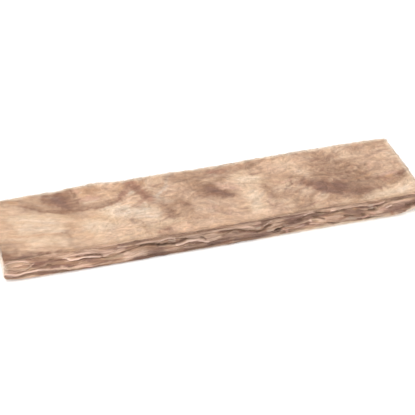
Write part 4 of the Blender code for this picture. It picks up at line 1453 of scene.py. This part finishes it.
def put_colours(data, colours):
    layer = data.color_attributes.new("wool_colour", "FLOAT_COLOR", "POINT")
    layer.data.foreach_set("color", np.c_[colours, np.ones(len(colours))].astype(np.float32).ravel())


def put_vectors(data, name, vectors):
    layer = data.attributes.new(name, "FLOAT_VECTOR", "POINT")
    layer.data.foreach_set("vector", vectors.astype(np.float32).ravel())


def put_values(data, name, values):
    layer = data.attributes.new(name, "FLOAT", "POINT")
    layer.data.foreach_set("value", values.astype(np.float32))


def spun_tubes(name, centres, radii, colours, sides):
    """Closed thin tubes round many centre lines, each with its own colour.

    centres is (tubes, rings, 3), radii (tubes, rings) and colours (tubes, 3).
    """
    tubes, rings, _ = centres.shape
    ahead = np.gradient(centres, axis=1)
    ahead /= np.linalg.norm(ahead, axis=2, keepdims=True)
    across = np.cross(ahead, NO_FIBRE_DIRECTION)
    across /= np.maximum(np.linalg.norm(across, axis=2, keepdims=True), NEARLY_NOTHING)
    outward = np.cross(ahead, across)
    turn = 2 * math.pi * np.arange(sides) / sides
    spokes = across[:, :, None] * np.cos(turn)[:, None] + outward[:, :, None] * np.sin(turn)[:, None]
    points = centres[:, :, None] + spokes * radii[:, :, None, None]

    ring = np.arange(rings - 1)[:, None]
    side = np.arange(sides)[None]
    next_side = (side + 1) % sides
    quads = np.stack([
        ring * sides + side, ring * sides + next_side,
        (ring + 1) * sides + next_side, (ring + 1) * sides + side,
    ], -1).reshape(-1, 4)
    caps = np.stack([np.arange(sides)[::-1], (rings - 1) * sides + np.arange(sides)])
    start = np.arange(tubes)[:, None, None] * rings * sides
    corners = np.concatenate([
        (quads[None] + start).reshape(tubes, -1),
        (caps[None] + start).reshape(tubes, -1),
    ], 1)
    sizes = np.tile(np.r_[np.full(len(quads), 4), np.full(2, sides)], tubes)

    data = bpy.data.meshes.new(name)
    data.vertices.add(tubes * rings * sides)
    data.vertices.foreach_set("co", points.astype(np.float32).ravel())
    data.loops.add(corners.size)
    data.loops.foreach_set("vertex_index", corners.astype(np.int32).ravel())
    data.polygons.add(len(sizes))
    data.polygons.foreach_set("loop_start", np.r_[0, np.cumsum(sizes)[:-1]].astype(np.int32))
    data.polygons.foreach_set("loop_total", sizes.astype(np.int32))
    put_colours(data, np.repeat(colours, rings * sides, axis=0))
    lay_out(data, tubes, len(quads) + 2)
    data.update()
    data.validate()
    data.shade_smooth()
    piece = bpy.data.objects.new(name, data)
    bpy.context.scene.collection.objects.link(piece)
    return piece


def lay_out(data, tubes, faces):
    """A map with a cell of its own for each tube and, in it, for each face of the tube."""
    cells = math.ceil(math.sqrt(tubes))
    patches = math.ceil(math.sqrt(faces))
    totals = np.empty(len(data.polygons), np.int32)
    data.polygons.foreach_get("loop_total", totals)
    face = np.repeat(np.arange(len(totals)), totals)
    first = np.repeat(np.r_[0, np.cumsum(totals)[:-1]], totals)
    corner = (np.arange(len(face)) - first) / totals[face]
    tube, part = face // faces, face % faces
    left = (tube % cells + (part % patches + 0.5) / patches) / cells
    low = (tube // cells + (part // patches + 0.5) / patches) / cells
    size = CELL_FILL / patches / cells
    turn = 2 * math.pi * (corner + CELL_TURN)
    places = np.stack([left + size * np.cos(turn), low + size * np.sin(turn)], -1)
    layer = data.uv_layers.new(name="OFBake")
    layer.data.foreach_set("uv", places.astype(np.float32).ravel())


def fibre_headings(roots, up, along_layers, chance):
    """The way each loose fibre runs: level along the side, or with the lie of the fibres on the top."""
    count = len(roots)
    if along_layers:
        ahead = np.cross((0.0, 0.0, 1.0), up)
        ahead /= np.maximum(np.linalg.norm(ahead, axis=1, keepdims=True), SHORTEST_HEADING)
        angle = chance.normal(0, LAYER_STRAND_TURN, count)
        ahead = ahead * np.cos(angle)[:, None] + np.cross(up, ahead) * np.sin(angle)[:, None]
    else:
        angle = fibre_angles(roots) + chance.normal(0, TOP_STRAND_TURN, count)
        ahead = on_sheet(np.cos(angle), np.sin(angle))
        ahead -= up * (ahead * up).sum(1, keepdims=True)
    return ahead * chance.choice((-1.0, 1.0), count)[:, None]


def strands(name, pad, colours, picked, lengths, thick, rises, bleach, along_layers, seed):
    """Loose fibres that grow from chosen points of the pad and lie close to it."""
    chance = np.random.default_rng(seed)
    data = pad.data
    places = np.empty(len(data.vertices) * 3, np.float32)
    normals = np.empty(len(data.vertices) * 3, np.float32)
    data.vertices.foreach_get("co", places)
    data.vertex_normals.foreach_get("vector", normals)
    roots = places.reshape(-1, 3)[picked].astype(float)
    up = normals.reshape(-1, 3)[picked].astype(float)
    count = len(picked)
    roots += chance.normal(0, ROOT_SCATTER, (count, 3)) * (1 - np.abs(up))
    ahead = fibre_headings(roots, up, along_layers, chance)
    beside = np.cross(up, ahead)

    share = np.linspace(0, 1, STRAND_RINGS)[None, :, None]
    run = chance.uniform(*lengths, count)[:, None, None]
    lift = chance.uniform(*rises, count)[:, None, None]
    curl = chance.uniform(-STRAND_CURL, STRAND_CURL, count)[:, None, None]
    arch = chance.uniform(*STRAND_ARCHES, count)[:, None, None]
    centres = (
        roots[:, None] - up[:, None] * ROOT_DEPTH
        + ahead[:, None] * run * (share - BEHIND_ROOT)
        + up[:, None] * lift * np.sin(math.pi * share * arch)
        + beside[:, None] * run * curl * share * share
    )
    ceiling = HIGHEST_STRAND - chance.uniform(0, HIGHEST_SPREAD, count)[:, None]
    centres[:, :, 2] = np.clip(centres[:, :, 2], LOWEST_STRAND, ceiling)
    reach = WIDTH / 2 + FARTHEST_STRAND - chance.uniform(0, FARTHEST_SPREAD, count)[:, None]
    centres[:, :, 1] = np.clip(centres[:, :, 1], -reach, reach)
    radii = chance.uniform(*thick, count)[:, None] * np.linspace(1.0, STRAND_TIP, STRAND_RINGS)[None]

    tint = np.clip(chance.normal(STRAND_TINT, STRAND_TINT_SPREAD, count), *STRAND_TINT_RANGE)[:, None]
    away = eased((roots[:, 1] + WIDTH / 2) / BLEACH_REACH)
    bleach = bleach * (NEAR_BLEACH_SHARE + (1 - NEAR_BLEACH_SHARE) * away)
    tinted = paint(colours[picked] * tint, PALE, bleach * chance.uniform(*BLEACH_SPREAD, count))
    return spun_tubes(name, centres, radii, tinted, STRAND_SIDES)


class Value:
    """A socket of a finish under way. A sum written with it adds the Math nodes that work it out."""

    def __init__(self, finish, socket):
        self.finish = finish
        self.socket = socket

    def math(self, operation, *terms):
        sockets = dict(enumerate(terms))
        return self.finish.node("ShaderNodeMath", {"operation": operation}, sockets)

    def __add__(self, other):
        return self.math("ADD", self, other)

    def __radd__(self, other):
        return self.math("ADD", other, self)

    def __sub__(self, other):
        return self.math("SUBTRACT", self, other)

    def __rsub__(self, other):
        return self.math("SUBTRACT", other, self)

    def __mul__(self, other):
        return self.math("MULTIPLY", self, other)

    def __rmul__(self, other):
        return self.math("MULTIPLY", other, self)

    def __abs__(self):
        return self.math("ABSOLUTE", self)


class Finish:
    """A material under way."""

    def __init__(self, name):
        self.material = bpy.data.materials.new(name)
        self.material.use_nodes = True
        self.tree = self.material.node_tree
        self.tree.nodes.clear()

    def node(self, kind, settings=None, sockets=None, out=0):
        """Adds a node: its settings first, then its sockets' values or links."""
        made = self.tree.nodes.new(kind)
        for name, value in (settings or {}).items():
            setattr(made, name, value)
        for name, value in (sockets or {}).items():
            if isinstance(value, Value):
                self.tree.links.new(value.socket, made.inputs[name])
            else:
                made.inputs[name].default_value = value
        return Value(self, made.outputs[out])

    def done(self, shader):
        output = self.tree.nodes.new("ShaderNodeOutputMaterial")
        self.tree.links.new(shader.socket, output.inputs["Surface"])
        return self.material


def painted_on(finish, name, out):
    """What the mesh holds under a name at each of its points."""
    return finish.node("ShaderNodeAttribute", {"attribute_name": name}, out=out)


def speckle(finish, place, scale, detail, roughness=0.5, distortion=0.0, out=0):
    """Noise at a place, from 0 to 1."""
    return finish.node("ShaderNodeTexNoise", {}, {
        "Vector": place, "Scale": scale, "Detail": detail, "Roughness": roughness, "Distortion": distortion,
    }, out=out)


def vectors(finish, operation, one, other):
    return finish.node("ShaderNodeVectorMath", {"operation": operation}, {0: one, 1: other})


def wisps(finish, place, angle, fineness):
    """Noise drawn out along one direction of the top, the given angle off the pad's length."""
    turned = finish.node(
        "ShaderNodeVectorRotate", {"rotation_type": "Z_AXIS"}, {"Vector": place, "Angle": angle})
    return speckle(finish, vectors(finish, "MULTIPLY", turned, fineness), *WISP_GRAIN)


def band(finish, value, low, high, at_low, at_high):
    """value carried from the range low to high onto at_low to at_high, and held at its ends."""
    return finish.node(
        "ShaderNodeMapRange", {"clamp": True, "interpolation_type": "SMOOTHSTEP"},
        {"Value": value, "From Min": low, "From Max": high, "To Min": at_low, "To Max": at_high})


def hair(finish, value, level, width):
    """1 along the line where a noise passes a level, fading out on both sides of it."""
    return band(finish, abs(value - level), 0.0, width, 1.0, 0.0)


def drifted(finish, place, swirly):
    """Places pushed about at random, so that what is drawn there swirls."""
    push = speckle(finish, place, *DRIFT_NOISE, out="Color")
    push = vectors(finish, "SUBTRACT", push, (NOISE_MIDDLE, NOISE_MIDDLE, NOISE_MIDDLE))
    push = vectors(finish, "MULTIPLY", push, DRIFT)
    push = finish.node("ShaderNodeVectorMath", {"operation": "SCALE"}, {0: push, "Scale": swirly})
    return vectors(finish, "ADD", place, push)


def wool_finish():
    """Matted glass wool: the painted colours, broken up by tufts, streaks and, at the sides, thin layers."""
    finish = Finish("glass_wool")
    place = finish.node("ShaderNodeTexCoord", out="Object")
    painted = painted_on(finish, "wool_colour", "Color")
    layers = painted_on(finish, "layers", "Vector")
    cut = painted_on(finish, "cut", "Fac")

    along = finish.node("ShaderNodeSeparateXYZ", {}, {"Vector": place}, out="X")
    swirly = band(finish, along, *SWIRLY_BAND)
    calm = band(finish, along, *CALM_BAND)
    lively = band(finish, along, *LIVELY_BAND)
    swirled = drifted(finish, place, swirly)

    across = band(finish, speckle(finish, place, *WISP_PATCH_NOISE), *CROSS_WISPS_BAND)
    lengthwise = 1.0 - across * swirly
    streaks = (
        wisps(finish, swirled, *LONG_WISPS) * lengthwise
        + wisps(finish, swirled, *CROSS_WISPS) * (1.0 - lengthwise))
    fine_wisps = (
        wisps(finish, swirled, *FINE_WISPS) * (1.0 - calm)
        + wisps(finish, swirled, *LEVEL_WISPS) * calm)
    threads = wisps(finish, swirled, *THREADS)
    tufts = speckle(finish, swirled, *TUFT_NOISE)
    grain = speckle(finish, place, *GRAIN_NOISE)
    hairs = hair(finish, fine_wisps, *PALE_HAIR) - hair(finish, streaks, *DARK_HAIR)
    hairs = hairs * (HAIRS_WHEN_CALM + (1.0 - HAIRS_WHEN_CALM) * swirly)
    warmth = speckle(finish, swirled, *WARMTH_NOISE) - NOISE_MIDDLE

    laminae = speckle(finish, vectors(finish, "MULTIPLY", layers, LAMINA_FINENESS), *LAMINA_NOISE)
    leaves = speckle(finish, vectors(finish, "MULTIPLY", layers, LEAF_FINENESS), *LEAF_NOISE)
    layer_hue = speckle(finish, vectors(finish, "MULTIPLY", layers, LAYER_HUE_FINENESS), *LAYER_HUE_NOISE)
    layer_hue = (layer_hue - NOISE_MIDDLE) * cut

    broad_tone = (
        TUFT_TONE * (tufts - NOISE_MIDDLE)
        + STREAK_TONE * (streaks - NOISE_MIDDLE)
        + WISP_TONE * (fine_wisps - NOISE_MIDDLE))
    fine_tone = (
        THREAD_TONE * (threads - NOISE_MIDDLE)
        + GRAIN_TONE * (grain - NOISE_MIDDLE)
        + HAIR_TONE * hairs)
    top_tone = (broad_tone + fine_tone * lively) * (1.0 - CALM_TONE * calm)
    cut_tone = (
        LAMINA_TONE * (laminae - NOISE_MIDDLE)
        + LEAF_TONE * (leaves - NOISE_MIDDLE)
        + CUT_GRAIN_TONE * (grain - NOISE_MIDDLE))
    tone = 1.0 + top_tone * (1.0 - cut) + cut_tone * cut
    tones = finish.node("ShaderNodeCombineColor", {}, {
        "Red": tone + RED_WARMTH * warmth,
        "Green": tone - GREEN_LAYER_HUE * layer_hue,
        "Blue": tone - BLUE_WARMTH * warmth,
    })
    colour = finish.node(
        "ShaderNodeMix", {"data_type": "RGBA", "blend_type": "MULTIPLY", "clamp_factor": True},
        {"Factor": 1.0, MIX_A: painted, MIX_B: tones}, out=MIX_RESULT)

    top_relief = STREAK_BUMP * streaks + WISP_BUMP * fine_wisps + THREAD_BUMP * threads
    cut_relief = LAMINA_BUMP * laminae + LEAF_BUMP * leaves
    relief = (
        TUFT_BUMP * tufts + top_relief * (1.0 - cut) + cut_relief * cut
        + GRAIN_BUMP * grain + HAIR_BUMP * hairs)
    bump = finish.node("ShaderNodeBump", {}, {
        "Height": relief * (1.0 - CALM_BUMP * calm),
        "Strength": BUMP_STRENGTH,
        "Distance": BUMP_DEPTH,
    }, out="Normal")
    return finish.done(finish.node("ShaderNodeBsdfPrincipled", {}, {
        "Base Color": colour,
        "Roughness": WOOL_ROUGHNESS + WOOL_ROUGHNESS_SPREAD * tufts,
        "Normal": bump,
        "Specular IOR Level": WOOL_SHINE,
        "Sheen Weight": WOOL_SHEEN,
        "Sheen Roughness": WOOL_SHEEN_ROUGHNESS,
        "Sheen Tint": WOOL_SHEEN_TINT,
    }))


def fibre_finish():
    """Single fibres: the colour of the wool they grow from."""
    finish = Finish("glass_fibre")
    return finish.done(finish.node("ShaderNodeBsdfPrincipled", {}, {
        "Base Color": painted_on(finish, "wool_colour", "Color"),
        "Roughness": FIBRE_ROUGHNESS,
        "Specular IOR Level": FIBRE_SHINE,
    }))


def floor_finish():
    finish = Finish("pale_floor")
    return finish.done(finish.node("ShaderNodeBsdfPrincipled", {}, {
        "Base Color": FLOOR_COLOUR,
        "Roughness": FLOOR_ROUGHNESS,
        "Specular IOR Level": FLOOR_SHINE,
        "Emission Color": WHITE,
        "Emission Strength": FLOOR_GLOW,
    }))


def studio_floor():
    """A pale floor that runs out of every view, lit a little from below as a light table is."""
    bpy.ops.mesh.primitive_plane_add(size=FLOOR_SIZE, location=(0, 0, 0))
    floor = bpy.context.object
    floor.name = "studio_floor"
    floor.data.materials.append(floor_finish())


def area_light(name, place, aim, size, power):
    lamp = bpy.data.lights.new(name, "AREA")
    lamp.shape = "RECTANGLE"
    lamp.size, lamp.size_y = size
    lamp.energy = power
    holder = bpy.data.objects.new(name, lamp)
    holder.location = place
    holder.rotation_euler = (Vector(aim) - Vector(place)).to_track_quat("-Z", "Y").to_euler()
    bpy.context.scene.collection.objects.link(holder)


def studio_light():
    """An even white sky, a broad soft light overhead and a small one low in front."""
    world = bpy.data.worlds.new("studio")
    bpy.context.scene.world = world
    world.use_nodes = True
    sky = world.node_tree.nodes["Background"]
    sky.inputs["Color"].default_value = WHITE
    sky.inputs["Strength"].default_value = SKY_STRENGTH
    area_light("overhead", OVERHEAD_PLACE, OVERHEAD_AIM, OVERHEAD_SIZE, OVERHEAD_POWER)
    area_light("front", FRONT_PLACE, FRONT_AIM, FRONT_SIZE, FRONT_POWER)
    bpy.context.scene.view_settings.view_transform = "Standard"


def photo_camera():
    data = bpy.data.cameras.new("photo_camera")
    data.lens = CAMERA_LENS_MM
    data.sensor_width = SENSOR_MM
    camera = bpy.data.objects.new("photo_camera", data)
    camera.location = CAMERA_PLACE
    ahead = Vector((
        math.sin(CAMERA_YAW) * math.cos(CAMERA_DIP),
        math.cos(CAMERA_YAW) * math.cos(CAMERA_DIP),
        -math.sin(CAMERA_DIP),
    ))
    camera.rotation_mode = "QUATERNION"
    camera.rotation_quaternion = ahead.to_track_quat("-Z", "Y")
    bpy.context.scene.collection.objects.link(camera)
    bpy.context.scene.camera = camera


def dress(piece, finish):
    """Gives a piece its finish and its body in the frame, and hides the frame's own pad."""
    piece.data.materials.append(finish)
    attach(piece, "root")
    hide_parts(PAD_NODE)


def main():
    photo_camera()
    studio_floor()
    studio_light()
    pad, rings, colours = layered_wool()
    dress(pad, wool_finish())

    finish = fibre_finish()
    chance = np.random.default_rng(ROOT_SEED)
    for name, first_ring, last_ring, count, again, *kind in LOOSE_FIBRES:
        growing = np.flatnonzero((rings >= first_ring) & (rings <= last_ring))
        picked = chance.choice(growing, count, replace=again)
        dress(strands(name, pad, colours, picked, *kind), finish)


main()
